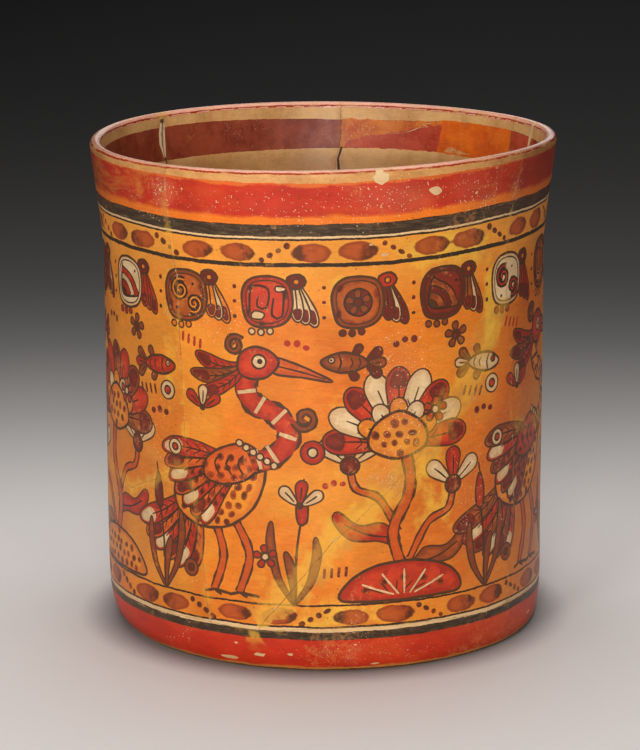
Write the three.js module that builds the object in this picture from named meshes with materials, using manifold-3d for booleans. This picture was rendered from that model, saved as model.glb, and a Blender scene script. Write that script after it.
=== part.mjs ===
// A painted cylinder vase of fired clay, broken long ago and put together again from its sherds.
// Millimetres, +Z up. The origin is the centre of the standing face and -Y faces the viewer.
// Angles on the wall are degrees: 0 faces the viewer, and they grow towards the viewer's right.

import * as THREE from "three";
import { mergeVertices } from "three/addons/utils/BufferGeometryUtils.js";
import Module from "manifold-3d";

const wasm = await Module();
wasm.setup();

// Sizes of the vase's body
const height = 169.5; // standing face to lip
const rimRadius = 80; // outside, at the lip
const wallRadius = 76; // outside, on the straight wall
const footRadius = 72; // outside, where the clay meets the table
const footHeight = 20; // the rounded turn from the standing face into the straight wall
const flareHeight = 42; // lip down to where the wall starts to lean out
const wallThickness = 5;
const lipThickness = 3.8;
const floorThickness = 7;
const cornerRadius = 8; // inside, between floor and wall

// How far the hand-built body strays from a true round one
const rimRoll = 0.6; // one side of the lip stands higher
const rollAngle = 76;
const rimWave = 0.5; // two crests and two dips round the lip
const crestAngle = 45;
const footDrift = 1.6; // the standing face is out of centre, towards the right
const driftFade = 4; // how fast that dies away above the table, as a power

// Sizes of the breaks and of the restorer's work
const joinGap = 0.3; // glue line between two sherds
const breakStep = 9; // length of one facet along a break
const breakWander = 0.9; // how far a break strays between its turning points
const breakLean = 0.3; // how far a break leans, for each millimetre through the wall
const baseBreakAbove = 8; // height of the break round the base, above the floor
const baseBreakWave = 1.5;
const stripWidth = 3; // filler strip let into the left join
const stripTop = 0.978; // shares of the height
const stripBottom = 0.907;
const chipWidth = 5.8; // filler that makes up a chip in the lip
const chipDepth = 4.4;
const lossWidth = 13; // filler where a corner of three sherds is lost
const lossHeight = 15;
const sliverWidth = 2.2; // filler at the lip in the right-hand join
const sliverDepth = 9;
const overcut = 3; // how far a cut starts above the lip
const crumbVolume = 25; // bits smaller than this, in cubic millimetres, were lost with the dust

// Counts of facets
const turnSteps = 72; // round the vase, and along the break round its base
const curveSteps = 3; // along each curved stretch of its profile, and twice that on its arcs

const clayColour = 0xc9702c;
const fillColour = 0xcdb896;

const radians = THREE.MathUtils.degToRad;
const degrees = THREE.MathUtils.radToDeg;
const fullTurn = 360;

// The point of the wall at an angle, a distance from the axis and a height
function onWall(angle, radius, z) {
  const turn = radians(angle);
  return new THREE.Vector3(radius * Math.sin(turn), -radius * Math.cos(turn), z);
}

// A closed solid from points and triangles, turned so that its faces point out
function solidFrom(positions, triangles) {
  const make = (triVerts) =>
    new wasm.Manifold(
      new wasm.Mesh({
        numProp: 3,
        vertProperties: new Float32Array(positions),
        triVerts: new Uint32Array(triVerts),
      }),
    );
  const made = make(triangles);
  return made.volume() < 0 ? make(triangles.slice().reverse()) : made;
}

// A closed solid from a geometry of three.js
function solidOf(geometry) {
  const bare = geometry.index ? geometry.toNonIndexed() : geometry.clone();
  bare.deleteAttribute("normal");
  bare.deleteAttribute("uv");
  const merged = mergeVertices(bare, 1e-3);
  const index = merged.index.array;
  const triangles = [];
  for (let i = 0; i < index.length; i += 3) {
    const [a, b, c] = [index[i], index[i + 1], index[i + 2]];
    if (a !== b && b !== c && c !== a) triangles.push(a, b, c);
  }
  return solidFrom(merged.attributes.position.array, triangles);
}

// The body: its profile turned round the axis, then pulled a little out of true
function profile() {
  const inner = wallRadius - wallThickness;
  const lipInner = rimRadius - lipThickness;
  const flareStart = height - flareHeight;
  const lipRound = lipThickness / 2;
  const lean = rimRadius - wallRadius;
  const innerLean = lipInner - inner;
  const line = new THREE.Path();
  line.moveTo(0, 0);
  line.lineTo(footRadius, 0);
  line.quadraticCurveTo(wallRadius, 0.15 * footHeight, wallRadius, footHeight);
  line.lineTo(wallRadius, flareStart);
  line.bezierCurveTo(
    wallRadius,
    flareStart + 0.28 * flareHeight,
    wallRadius + 0.72 * lean,
    flareStart + 0.69 * flareHeight,
    rimRadius,
    height - lipRound,
  );
  line.absellipse(rimRadius - lipRound, height - lipRound, lipRound, lipRound, 0, Math.PI, false);
  line.bezierCurveTo(
    inner + 0.72 * innerLean,
    flareStart + 0.69 * flareHeight,
    inner,
    flareStart + 0.28 * flareHeight,
    inner,
    flareStart,
  );
  line.lineTo(inner, floorThickness + cornerRadius);
  line.absarc(inner - cornerRadius, floorThickness + cornerRadius, cornerRadius, 0, -Math.PI / 2, true);
  line.lineTo(0, floorThickness);
  return line.getPoints(curveSteps);
}

function lipLift(turn) {
  const roll = rimRoll * Math.cos(turn - radians(rollAngle));
  return roll + rimWave * Math.cos(2 * (turn - radians(crestAngle)));
}

function body() {
  const geometry = new THREE.LatheGeometry(profile(), turnSteps);
  geometry.rotateX(Math.PI / 2);
  const place = geometry.attributes.position;
  for (let i = 0; i < place.count; i++) {
    const [x, y, z] = [place.getX(i), place.getY(i), place.getZ(i)];
    const radius = Math.hypot(x, y);
    if (radius < 1e-6) continue;
    const turn = Math.atan2(x, -y);
    const low = Math.max(0, 1 - z / footHeight) ** driftFade * (radius / wallRadius) ** 2;
    const grown = (radius + footDrift * Math.sin(turn) * low) / radius;
    place.setXYZ(i, x * grown, y * grown, z + lipLift(turn) * (z / height) ** 2);
  }
  return solidOf(geometry);
}

// Break lines: each runs through its turning points, [angle, share of the height], in short straight facets
const stray = (n) => 0.6 * Math.sin(2.4 * n) + 0.4 * Math.sin(5.3 * n + 1);

function breakLine(turningPoints, seed) {
  const line = [];
  turningPoints.slice(1).forEach(([angle, share], leg) => {
    const [fromAngle, fromShare] = turningPoints[leg];
    const across = radians(angle - fromAngle) * wallRadius;
    const up = (share - fromShare) * height;
    const length = Math.hypot(across, up);
    const steps = Math.max(1, Math.round(length / breakStep));
    for (let i = 0; i < steps; i++) {
      const t = i / steps;
      const aside = breakWander * stray(seed + 3 * leg + i) * Math.sin(Math.PI * t);
      const back = degrees((aside * up) / length / wallRadius);
      line.push({
        angle: fromAngle + (angle - fromAngle) * t - back,
        z: (fromShare + (share - fromShare) * t) * height + (aside * across) / length,
        lean: breakLean * stray(2 * seed + leg + i) * Math.sin(Math.PI * t),
      });
    }
  });
  const [angle, share] = turningPoints.at(-1);
  line.push({ angle, z: share * height, lean: 0 });
  return line;
}

// A curtain that hangs along a line of the wall and passes right through the wall
const curtainIn = wallRadius - 2.2 * (wallThickness + 2);
const curtainOut = rimRadius + 2 * wallThickness;

function curtain(line, width, closed = false) {
  const count = line.length;
  const near = (i) => (closed ? line[(i + count) % count] : line[Math.min(Math.max(i, 0), count - 1)]);
  const span = (from, to) => ((to - from + 1.5 * fullTurn) % fullTurn) - fullTurn / 2;
  const positions = [];
  line.forEach((point, i) => {
    const [before, after] = [near(i - 1), near(i + 1)];
    const along = new THREE.Vector2(
      radians(span(before.angle, after.angle)) * wallRadius,
      after.z - before.z,
    ).normalize();
    const half = (point.width ?? width) / 2;
    for (const [radius, side] of [
      [curtainIn, -1],
      [curtainOut, -1],
      [curtainOut, 1],
      [curtainIn, 1],
    ]) {
      const aside = side * half + point.lean * (radius - wallRadius);
      const angle = point.angle - degrees((along.y * aside) / radius);
      positions.push(...onWall(angle, radius, point.z + along.x * aside));
    }
  });
  const triangles = [];
  for (let i = 0; i < (closed ? count : count - 1); i++) {
    for (let k = 0; k < 4; k++) {
      const [a, b] = [4 * i + k, 4 * i + ((k + 1) % 4)];
      const [c, d] = [4 * ((i + 1) % count) + k, 4 * ((i + 1) % count) + ((k + 1) % 4)];
      // both faces of the curtain are split the same way, so that a leaning one keeps its width
      if (k < 2) triangles.push(a, b, d, a, d, c);
      else triangles.push(a, b, c, b, d, c);
    }
  }
  if (!closed) {
    const last = 4 * (count - 1);
    triangles.push(0, 2, 1, 0, 3, 2, last, last + 1, last + 2, last, last + 2, last + 3);
  }
  return solidFrom(positions, triangles);
}

// The break round the base, a little above the floor
function baseBreakZ(angle) {
  const turn = radians(angle);
  const wave = 0.5 * Math.sin(3 * turn + 1) + 0.3 * Math.sin(7 * turn) + 0.2 * Math.sin(11 * turn + 2);
  return floorThickness + baseBreakAbove + baseBreakWave * wave;
}

const baseBreak = Array.from({ length: turnSteps }, (_, i) => {
  const angle = (fullTurn * i) / turnSteps;
  return { angle, z: baseBreakZ(angle), lean: 0 };
});

// Turning points where breaks start, meet or end, as [angle, share of the height]
const overLip = 1.06; // a break that starts above the lip
const toBase = (angle) => [angle, (baseBreakZ(angle) - baseBreakWave) / height];
const leftMeeting = [-37, 0.4];
const rightMeeting = [56, 0.45];
const diagonalStart = [53.2, 0.71];
const wedgeTip = [110.5, 0.6];
const farMeeting = [108, 0.42];
const backMeeting = [184, 0.45];
const stripMeeting = [232, 0.48];
const lowerLeftStart = [276, 0.35];
const lowerBackStart = [212, 0.41];
const lowerRightStart = [152, 0.4];

const breaks = [
  // left of the front, from the lip to the base
  [
    [-39.8, overLip], [-39.8, 0.985], [-41.6, 0.917], [-40.7, 0.88], [-39.1, 0.734], [-38.4, 0.633],
    leftMeeting, [-33, 0.24], toBase(-30),
  ],
  // right of the front, from the lip to the base
  [
    [55.4, overLip], [55.4, 0.987], [52.8, 0.87], [52.6, 0.774], diagonalStart, [55.5, 0.58],
    rightMeeting, [57.5, 0.27], toBase(54),
  ],
  // slanting down across the front
  [diagonalStart, [38, 0.56], [22, 0.41], [2, 0.27], toBase(-18)],
  // the two that meet in a wedge on the right, and what runs on below the wedge
  [[105.4, overLip], [105.4, 0.985], [107.4, 0.94], [108.4, 0.8], wedgeTip, farMeeting],
  [[117.5, overLip], [117.4, 0.985], [116.6, 0.85], [114.5, 0.72], wedgeTip],
  // behind
  [[174.9, overLip], [174.9, 0.93], [176.4, 0.85], [178.5, 0.68], backMeeting],
  [[228.8, overLip], [228.8, 0.985], [230.2, 0.93], [229.8, 0.9], [228.4, 0.74], stripMeeting],
  // half-way down, from the right of the front round the back to the left
  [
    rightMeeting, [74, 0.43], [90, 0.47], farMeeting, [130, 0.36], lowerRightStart, [168, 0.46],
    backMeeting, lowerBackStart, stripMeeting, [254, 0.42], lowerLeftStart, [300, 0.32],
    [leftMeeting[0] + fullTurn, leftMeeting[1]],
  ],
  // below that
  [lowerRightStart, [156, 0.25], toBase(159)],
  [lowerBackStart, [207, 0.27], toBase(211)],
  [lowerLeftStart, [281, 0.2], toBase(278)],
];

// The sherds between the breaks, each named by where it sits and found by a point inside it
const wallSherds = {
  rim_sherd_front: [8, 0.72],
  rim_sherd_right: [80, 0.72],
  rim_sherd_wedge: [111, 0.82],
  rim_sherd_back_right: [146, 0.68],
  rim_sherd_back_left: [203, 0.68],
  rim_sherd_left: [276, 0.66],
  lower_sherd_front: [34, 0.3],
  lower_sherd_right: [100, 0.25],
  lower_sherd_back_right: [183, 0.27],
  lower_sherd_back_left: [245, 0.25],
  lower_sherd_left: [303, 0.22],
};

// The restorer's fills, each let into the sherds round it and wider or narrower down its line
const lossCentre = [backMeeting[0], backMeeting[1] * height];
const downFill = (rows) => rows.map(([angle, z, width]) => ({ angle, z, lean: 0, width }));
const fills = {
  filler_strip_left: downFill([
    [229.1, stripTop * height, 0.7 * stripWidth],
    [229.9, (0.7 * stripTop + 0.3 * stripBottom) * height, stripWidth],
    [230.2, (0.4 * stripTop + 0.6 * stripBottom) * height, stripWidth],
    [229.9, stripBottom * height, 0.3 * stripWidth],
  ]),
  lip_fill_front: downFill([
    [13, height + overcut, 0.42 * chipWidth],
    [13, height - 0.2 * chipDepth, 0.45 * chipWidth],
    [13.2, height - 0.4 * chipDepth, chipWidth],
    [13.3, height - 0.65 * chipDepth, 0.95 * chipWidth],
    [12.8, height - chipDepth, 0.4 * chipWidth],
  ]),
  lip_fill_right: downFill([
    [105.4, height + overcut, 0.9 * sliverWidth],
    [106.3, height - 0.5 * sliverDepth, sliverWidth],
    [107.1, height - sliverDepth, 0.6 * sliverWidth],
  ]),
  corner_fill_back: downFill([
    [lossCentre[0] - 0.6, lossCentre[1] - 0.5 * lossHeight, 0.35 * lossWidth],
    [lossCentre[0] - 0.2, lossCentre[1] - 0.15 * lossHeight, lossWidth],
    [lossCentre[0] + 0.2, lossCentre[1] + 0.2 * lossHeight, 0.85 * lossWidth],
    [lossCentre[0] + 0.6, lossCentre[1] + 0.5 * lossHeight, 0.4 * lossWidth],
  ]),
};

// The same line, wider and longer by the glue line, for the pocket that a fill sits in
function pocketLine(line) {
  return line.map((point, i) => {
    const end = i === 0 || i === line.length - 1;
    const toward = line[i === 0 ? 1 : i - 1];
    const outward = Math.sign(point.z - toward.z) * joinGap;
    return { ...point, z: point.z + (end ? outward : 0), width: point.width + 2 * joinGap };
  });
}

// Breaks a solid along curtains, and gives each piece the name whose point lies in it
function breakApart(whole, cuts, points) {
  const bits = cuts.reduce((left, cut) => left.subtract(cut), whole).decompose();
  const pieces = bits.filter((bit) => bit.volume() > crumbVolume);
  const named = {};
  for (const [name, point] of Object.entries(points)) {
    const geometry = new THREE.SphereGeometry(1, 8, 6).translate(point.x, point.y, point.z);
    const probe = solidOf(geometry);
    const found = pieces.filter((piece) => piece.intersect(probe).volume() > 0.5);
    if (found.length !== 1) throw new Error(`${found.length} pieces hold the point of ${name}`);
    named[name] = found[0];
  }
  if (pieces.length !== Object.keys(points).length) {
    throw new Error(`${pieces.length} pieces for ${Object.keys(points).length} names`);
  }
  return named;
}

// The break across the base, as a thin wall that stands on its line
function baseCrossBreak() {
  const reach = 1.3 * rimRadius;
  const slantAllowance = 0.9; // the gap is set along y, and the line slants
  const turns = [
    [-reach, -0.35 * footRadius],
    [-0.62 * footRadius, -0.2 * footRadius],
    [-0.3 * footRadius, 0.1 * footRadius],
    [0.12 * footRadius, 0.05 * footRadius],
    [0.45 * footRadius, 0.3 * footRadius],
    [reach, 0.22 * footRadius],
  ];
  const half = joinGap / 2 / slantAllowance;
  const side = (sign) => turns.map(([x, y]) => new THREE.Vector2(x, y + sign * half));
  const outline = new THREE.Shape([...side(1), ...side(-1).reverse()]);
  const geometry = new THREE.ExtrudeGeometry(outline, { depth: height, bevelEnabled: false });
  return solidOf(geometry.translate(0, 0, -floorThickness));
}

function middleOfWall([angle, share]) {
  return onWall(angle, wallRadius - wallThickness / 2, share * height);
}

function vase() {
  const whole = body();
  const pieces = {};
  let sherds = whole;
  for (const [name, line] of Object.entries(fills)) {
    pieces[name] = { solid: whole.intersect(curtain(line)), colour: fillColour };
    sherds = sherds.subtract(curtain(pocketLine(line)));
  }
  const parted = breakApart(sherds, [curtain(baseBreak, joinGap, true)], {
    wall: middleOfWall([8, 0.7]),
    base: new THREE.Vector3(0, -0.5 * footRadius, floorThickness / 2),
  });
  const wallPoints = Object.fromEntries(
    Object.entries(wallSherds).map(([name, place]) => [name, middleOfWall(place)]),
  );
  const wallCuts = breaks.map((turns, i) => curtain(breakLine(turns, 5 * i), joinGap));
  const basePoints = {
    base_sherd_front: new THREE.Vector3(0, -0.5 * footRadius, floorThickness / 2),
    base_sherd_back: new THREE.Vector3(0, 0.6 * footRadius, floorThickness / 2),
  };
  const broken = {
    ...breakApart(parted.wall, wallCuts, wallPoints),
    ...breakApart(parted.base, [baseCrossBreak()], basePoints),
  };
  for (const [name, solid] of Object.entries(broken)) pieces[name] = { solid, colour: clayColour };
  return pieces;
}

function meshOf(name, solid, colour) {
  const { vertProperties, triVerts } = solid.getMesh();
  const geometry = new THREE.BufferGeometry();
  geometry.setAttribute("position", new THREE.BufferAttribute(new Float32Array(vertProperties), 3));
  geometry.setIndex(new THREE.BufferAttribute(new Uint32Array(triVerts), 1));
  const material = new THREE.MeshStandardMaterial({
    color: colour,
    roughness: 0.5,
    metalness: 0,
    flatShading: true,
  });
  const mesh = new THREE.Mesh(geometry, material);
  mesh.name = name;
  return mesh;
}

const group = new THREE.Group();
for (const [name, { solid, colour }] of Object.entries(vase())) group.add(meshOf(name, solid, colour));

export default group;
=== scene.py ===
# A painted cylinder vase of fired clay, broken long ago and put together again from its sherds.
# Sizes are millimetres and degrees, as in the CAD model, and become metres where a mesh is made.
# Angles on the wall: 0 faces the viewer, and they grow towards the viewer's right.
# The painted wall is drawn flat, as if unrolled: u runs round it at the wall's radius, v is the height.

import random
from math import cos, degrees, dist, floor, hypot, pi, radians, sin

import bpy
import numpy as np
from mathutils import Euler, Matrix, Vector
from mathutils.geometry import delaunay_2d_cdt
from mathutils.kdtree import KDTree


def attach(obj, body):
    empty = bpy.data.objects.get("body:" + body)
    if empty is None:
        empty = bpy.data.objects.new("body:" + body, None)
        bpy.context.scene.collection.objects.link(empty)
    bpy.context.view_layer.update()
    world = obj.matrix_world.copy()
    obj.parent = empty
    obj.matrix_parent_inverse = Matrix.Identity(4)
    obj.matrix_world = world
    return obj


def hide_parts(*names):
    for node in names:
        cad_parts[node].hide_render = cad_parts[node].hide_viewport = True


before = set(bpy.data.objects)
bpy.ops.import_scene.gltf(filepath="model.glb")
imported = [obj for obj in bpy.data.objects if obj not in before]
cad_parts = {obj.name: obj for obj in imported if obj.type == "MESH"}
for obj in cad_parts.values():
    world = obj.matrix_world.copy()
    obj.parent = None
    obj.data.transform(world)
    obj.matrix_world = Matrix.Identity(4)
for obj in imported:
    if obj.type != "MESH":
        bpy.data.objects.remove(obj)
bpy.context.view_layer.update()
dice = random.Random(11)

# Sizes of the vase's body, as in the CAD model
height = 169.5
rim_radius = 80.0
wall_radius = 76.0
foot_radius = 72.0
foot_height = 20.0
flare_height = 42.0
wall_thickness = 5.0
lip_thickness = 3.8
floor_thickness = 7.0
corner_radius = 8.0
rim_roll, roll_angle, rim_wave, crest_angle = 0.6, 76.0, 0.5, 45.0
foot_drift, drift_fade = 1.6, 4
inner_radius = wall_radius - wall_thickness
lip_inner = rim_radius - lip_thickness
lip_round = lip_thickness / 2
lip_start = height - lip_round
flare_start = height - flare_height
girth = 2 * pi * wall_radius
hand_swell = 0.22  # how far the hand-built wall bulges and dips
red_rise = 2.2  # how much higher the red under the lip reaches at the sides

# Fineness of the mesh
columns = 288
row_step = 2.2
foot_steps, flare_steps, lip_steps, corner_steps = 12, 22, 10, 7
floor_rings, underside_rings = (48, 34, 20, 8), (8, 20, 34, 48, 62, 70)
small_spot = 3  # soft spots with a shorter half length get fewer rings
sharp_angle = 38.0
weld_steps = 2000  # points that round to the same one of so many steps in a millimetre are made one
snap = 1e-3  # how near to an edge of the unrolled plane a point counts as on it

# Hairline between two sherds, and the run of the breaks, as in the CAD model
hairline = 0.07
break_step, break_wander, break_lean = 9.0, 0.9, 0.3
base_break_above, base_break_wave = 8.0, 1.5
fine_step, fine_wander = 2.0, 0.16

# Heights of the painted bands on the outside, from the bottom
foot_shade_top, foot_edge_top, foot_red_top, foot_black_top = 0.3, 1.1, 11.05, 14.1
foot_cream_top, foot_line_top, low_band_top, low_line_top = 15.3, 16.2, 23.0, 23.95
scene_bottom = 24.8
high_line, high_band, high_band_top = 138.05, 139.15, 146.8
thin_line_top, rim_cream_top, rim_black_top, rim_orange_top, rim_red_top = 147.65, 148.4, 152.25, 154.6, 165.2
# and on over the lip, where they are counted along its round edge
lip_edge, lip_top, lip_inner_edge, lip_tan, band_span = 168.0, 168.9, 172.0, 172.7, 176.0


# Form of the body


def between(a, b, t):
    """The values at a share t of the way from a to b"""
    return tuple(p + (q - p) * t for p, q in zip(a, b))


def around(count):
    """The angles of so many even steps round a circle"""
    return [2 * pi * i / count for i in range(count)]


def bezier(points, steps):
    """The points of a Bezier curve, without its first"""
    curve = []
    for i in range(1, steps + 1):
        t = i / steps
        level = list(points)
        while len(level) > 1:
            level = [between(a, b, t) for a, b in zip(level, level[1:])]
        curve.append(level[0])
    return curve


def straight(start, end, step):
    """The points of a straight line, without its first"""
    count = max(1, round(dist(start, end) / step))
    return [(start[0] + (end[0] - start[0]) * i / count, start[1] + (end[1] - start[1]) * i / count)
            for i in range(1, count + 1)]


def flare(low_radius, high_radius):
    """The curve of the wall out to the lip"""
    lean = high_radius - low_radius
    return [(low_radius, flare_start), (low_radius, flare_start + 0.28 * flare_height),
            (low_radius + 0.72 * lean, flare_start + 0.69 * flare_height), (high_radius, lip_start)]


def outer_profile():
    """(radius, height) up the outside, from the standing face to the lip"""
    turn = [(foot_radius, 0.0), (wall_radius, 0.15 * foot_height), (wall_radius, foot_height)]
    line = [(foot_radius, 0.0)] + bezier(turn, foot_steps)
    line += straight(line[-1], (wall_radius, flare_start), row_step)
    return line + bezier(flare(wall_radius, rim_radius), flare_steps)


outside = outer_profile()
outer_rows = [z for _, z in outside]
outer_radii = [r for r, _ in outside]

lip_turns = [pi * i / lip_steps for i in range(lip_steps + 1)]
lip_profile = [(rim_radius - lip_round + lip_round * cos(a), lip_start + lip_round * sin(a))
               for a in lip_turns]

inner_bottom = floor_thickness + corner_radius
inner_side = straight((inner_radius, inner_bottom), (inner_radius, flare_start), row_step)
inner_side = [(inner_radius, inner_bottom)] + inner_side
inner_side += bezier(flare(inner_radius, lip_inner), flare_steps)
inner_rows = [z for _, z in inner_side]
inner_radii = [r for r, _ in inner_side]

corner_turns = [pi / 2 * i / corner_steps for i in range(corner_steps + 1)]
floor_profile = [(inner_radius - corner_radius * (1 - cos(a)), inner_bottom - corner_radius * sin(a))
                 for a in corner_turns]
floor_profile += [(r, floor_thickness) for r in floor_rings]


def lip_lift(turn):
    """How far the lip stands above or below its true height"""
    roll = rim_roll * np.cos(turn - radians(roll_angle))
    return roll + rim_wave * np.cos(2 * (turn - radians(crest_angle)))


def swell(turn, z):
    """How far the wall bulges or dips"""
    wave = np.sin(3 * turn + 1.1) * np.sin(z / 21 + 0.4) + 0.6 * np.sin(5 * turn + 2 + z / 40)
    return hand_swell * wave * np.clip((z - 8) / 25, 0, 1) * np.clip((height - z) / 30, 0.35, 1)


def on_body(turn, radius, z):
    """Points of the hand-built body, for angles in radians and places on the true round one"""
    low = np.maximum(0, 1 - z / foot_height) ** drift_fade * (radius / wall_radius) ** 2
    reach = radius + foot_drift * np.sin(turn) * low + swell(turn, z) * (radius / wall_radius) ** 2
    lifted = z + lip_lift(turn) * (z / height) ** 2
    return np.stack([reach * np.sin(turn), -reach * np.cos(turn), lifted], -1)


def off_body(points):
    """The angle, radius and height on the true round body, for points of the hand-built one"""
    turn = np.arctan2(points[:, 0], -points[:, 1])
    radius = np.hypot(points[:, 0], points[:, 1])
    z = points[:, 2].copy()
    for _ in range(3):  # each try comes closer
        z = points[:, 2] - lip_lift(turn) * (z / height) ** 2
    low = np.maximum(0, 1 - z / foot_height) ** drift_fade * (radius / wall_radius) ** 2
    radius = radius - foot_drift * np.sin(turn) * low - swell(turn, z) * (radius / wall_radius) ** 2
    return turn, radius, z


def on_cylinder(turn, z):
    """A point at the wall's radius on the true round body"""
    return wall_radius * sin(turn), -wall_radius * cos(turn), z


def wobble(u, v):
    """How far the painted lines stray from level, as the vase turned under the brush"""
    turn = u / wall_radius
    wave = 0.6 * np.sin(turn) - 0.75 * np.cos(2 * turn) + 0.16 * np.sin(7 * turn + 2.2)
    return wave * (v / rim_black_top) ** 2


# Brushwork: everything painted is an outline in the unrolled plane, and later ones lie over earlier ones

painted = []  # (outline, paint)
soft_spots = []  # (u, v, half length, half width, slant, how dark its end is)
line_width = 0.62
dark_middle = -2.0  # in the place of how dark its end is, for a spot that is darkest in its middle


def sides(outline):
    """The two ends of each side of a closed outline"""
    return zip(outline, outline[1:] + outline[:1])


def within(x, y, outline):
    """Which of the points lie inside the outline"""
    turns = np.zeros(len(x), int)
    for (x0, y0), (x1, y1) in sides(outline):
        side = (x1 - x0) * (y - y0) - (x - x0) * (y1 - y0)
        turns += (y0 <= y) & (y1 > y) & (side > 0)
        turns -= (y0 > y) & (y1 <= y) & (side < 0)
    return turns != 0


def stray(n):
    """An uneven wave between -1 and 1"""
    return 0.6 * sin(2.4 * n) + 0.4 * sin(5.3 * n + 1)


def smooth(points, closed=True, step=1.3):
    """A smooth curve through the points, with a point about every step"""
    count = len(points)
    curve = []
    for i in range(count if closed else count - 1):
        near = [(i + k) % count if closed else min(max(i + k, 0), count - 1) for k in (-1, 0, 1, 2)]
        a, b, c, d = (points[k] for k in near)
        steps = max(2, round(dist(b, c) / step))
        for j in range(steps):
            t = j / steps
            curve.append(tuple(
                0.5 * (2 * q + (r - p) * t + (2 * p - 5 * q + 4 * r - s) * t * t
                       + (3 * q - p - 3 * r + s) * t ** 3)
                for p, q, r, s in zip(a, b, c, d)))
    return curve if closed else curve + [points[-1]]


def area_of(outline):
    """The area within the outline, above 0 where it runs anticlockwise"""
    return sum(a[0] * b[1] - b[0] * a[1] for a, b in sides(outline)) / 2


def grown(outline, by):
    """The outline moved outwards, a little unevenly as by hand"""
    side = 1 if area_of(outline) > 0 else -1
    count = len(outline)
    start = dice.uniform(0, 9)
    moved = []
    for i, (x, y) in enumerate(outline):
        (x0, y0), (x1, y1) = outline[i - 1], outline[(i + 1) % count]
        length = hypot(x1 - x0, y1 - y0) or 1
        reach = side * by * (1 + 0.22 * stray(start + 0.35 * i))
        moved.append((x + (y1 - y0) / length * reach, y - (x1 - x0) / length * reach))
    return moved


def ribbon(line, width, ends=0.45):
    """The outline of one brush stroke, thinner at its ends"""
    left, right = [], []
    start = dice.uniform(0, 9)
    for i, (x, y) in enumerate(line):
        (x0, y0), (x1, y1) = line[max(i - 1, 0)], line[min(i + 1, len(line) - 1)]
        length = hypot(x1 - x0, y1 - y0) or 1
        full = ends + (1 - ends) * sin(pi * (i + 0.5) / len(line)) ** 0.5
        half = width / 2 * full * (1 + 0.15 * stray(start + 0.4 * i))
        left.append((x - (y1 - y0) / length * half, y + (x1 - x0) / length * half))
        right.append((x + (y1 - y0) / length * half, y - (x1 - x0) / length * half))
    return left + right[::-1]


def paint(outline, colour):
    """Lays a colour on the wall, lifted where the painted lines stray from level"""
    painted.append(([(u, v + float(wobble(u, v))) for u, v in outline], colour))


class Brush:
    """Draws from an origin of its own, at its own size, slant and hand"""

    def __init__(self, u, v, size=1.0, slant=0.0, hand=1):
        self.u, self.v, self.size, self.slant, self.hand = u, v, size, radians(slant), hand

    def at(self, points):
        c, s = cos(self.slant), sin(self.slant)
        return [(self.u + self.hand * self.size * (x * c - y * s), self.v + self.size * (x * s + y * c))
                for x, y in points]

    def area(self, points, colour, line=line_width):
        """An area of colour with a black line round it"""
        outline = smooth(self.at(points))
        if line:
            paint(grown(outline, line / 2), "black")
        paint(grown(outline, -line / 2), colour)

    def stroke(self, points, width=0.9, colour="black", ends=0.45):
        paint(ribbon(smooth(self.at(points), closed=False), width, ends), colour)

    def tube(self, points, width, colour, line=line_width):
        """A band of colour between two lines"""
        middle = smooth(self.at(points), closed=False)
        paint(ribbon(middle, width * self.size + line, 0.92), "black")
        paint(ribbon(middle, width * self.size - line, 0.9), colour)

    def disc(self, x, y, radius, colour, line=line_width, flat=1.0):
        self.area([(x + radius * cos(a), y + radius * flat * sin(a)) for a in around(8)], colour, line)

    def spot(self, x, y, length, width, slant):
        """A soft spot that is darkest in its middle"""
        (u, v), = self.at([(x, y)])
        soft_spots.append((u, v + float(wobble(u, v)), length * self.size / 2, width * self.size / 2,
                           self.hand * (radians(slant) + self.slant), dark_middle))


def leaf(brush, root, tip, width, colour, tip_colour=None, bend=0.0, rib=True, barbs=0):
    """A feather, petal or leaf from its root to its tip, with a rib and a tip of another colour"""
    (x0, y0), (x1, y1) = root, tip
    length = hypot(x1 - x0, y1 - y0)
    ax, ay = (x1 - x0) / length, (y1 - y0) / length

    def local(along, aside):
        curve = bend * sin(pi * along) * length
        return (x0 + ax * along * length - ay * (aside * width + curve),
                y0 + ay * along * length + ax * (aside * width + curve))

    half = ((0, 0.16), (0.35, 0.38), (0.75, 0.5), (0.96, 0.3))
    shape = half + ((1.02, 0),) + tuple((along, -aside) for along, aside in half[::-1])
    brush.area([local(*p) for p in shape], colour)
    if tip_colour:
        cap = ((0.72, 0.36), (0.93, 0.22), (0.97, 0), (0.93, -0.22), (0.72, -0.36), (0.66, 0))
        brush.area([local(*p) for p in cap], tip_colour, 0.0)
    if rib:
        brush.stroke([local(0.12, 0), local(0.45, 0.02), local(0.72, 0)], 0.6)
    for i in range(barbs):
        for side in (-1, 1):
            barb = [local(0.24 + 0.14 * i, 0.03 * side), local(0.34 + 0.14 * i, 0.27 * side)]
            brush.stroke(barb, 0.45, ends=0.7)


def fan(brush, root, first, last, count, length, width, colours, tips=(None,), grow=1.0, bend=0.0, barbs=0):
    """Feathers or petals from one root, spread between two angles"""
    for i in range(count):
        t = i / max(1, count - 1)
        angle = radians(first + (last - first) * t)
        reach = length * (1 + (grow - 1) * t)
        foot = (root[0] + 0.18 * reach * cos(angle), root[1] + 0.18 * reach * sin(angle))
        tip = (root[0] + reach * cos(angle), root[1] + reach * sin(angle))
        leaf(brush, foot, tip, width, colours[i % len(colours)], tips[i % len(tips)], bend, barbs=barbs)


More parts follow.
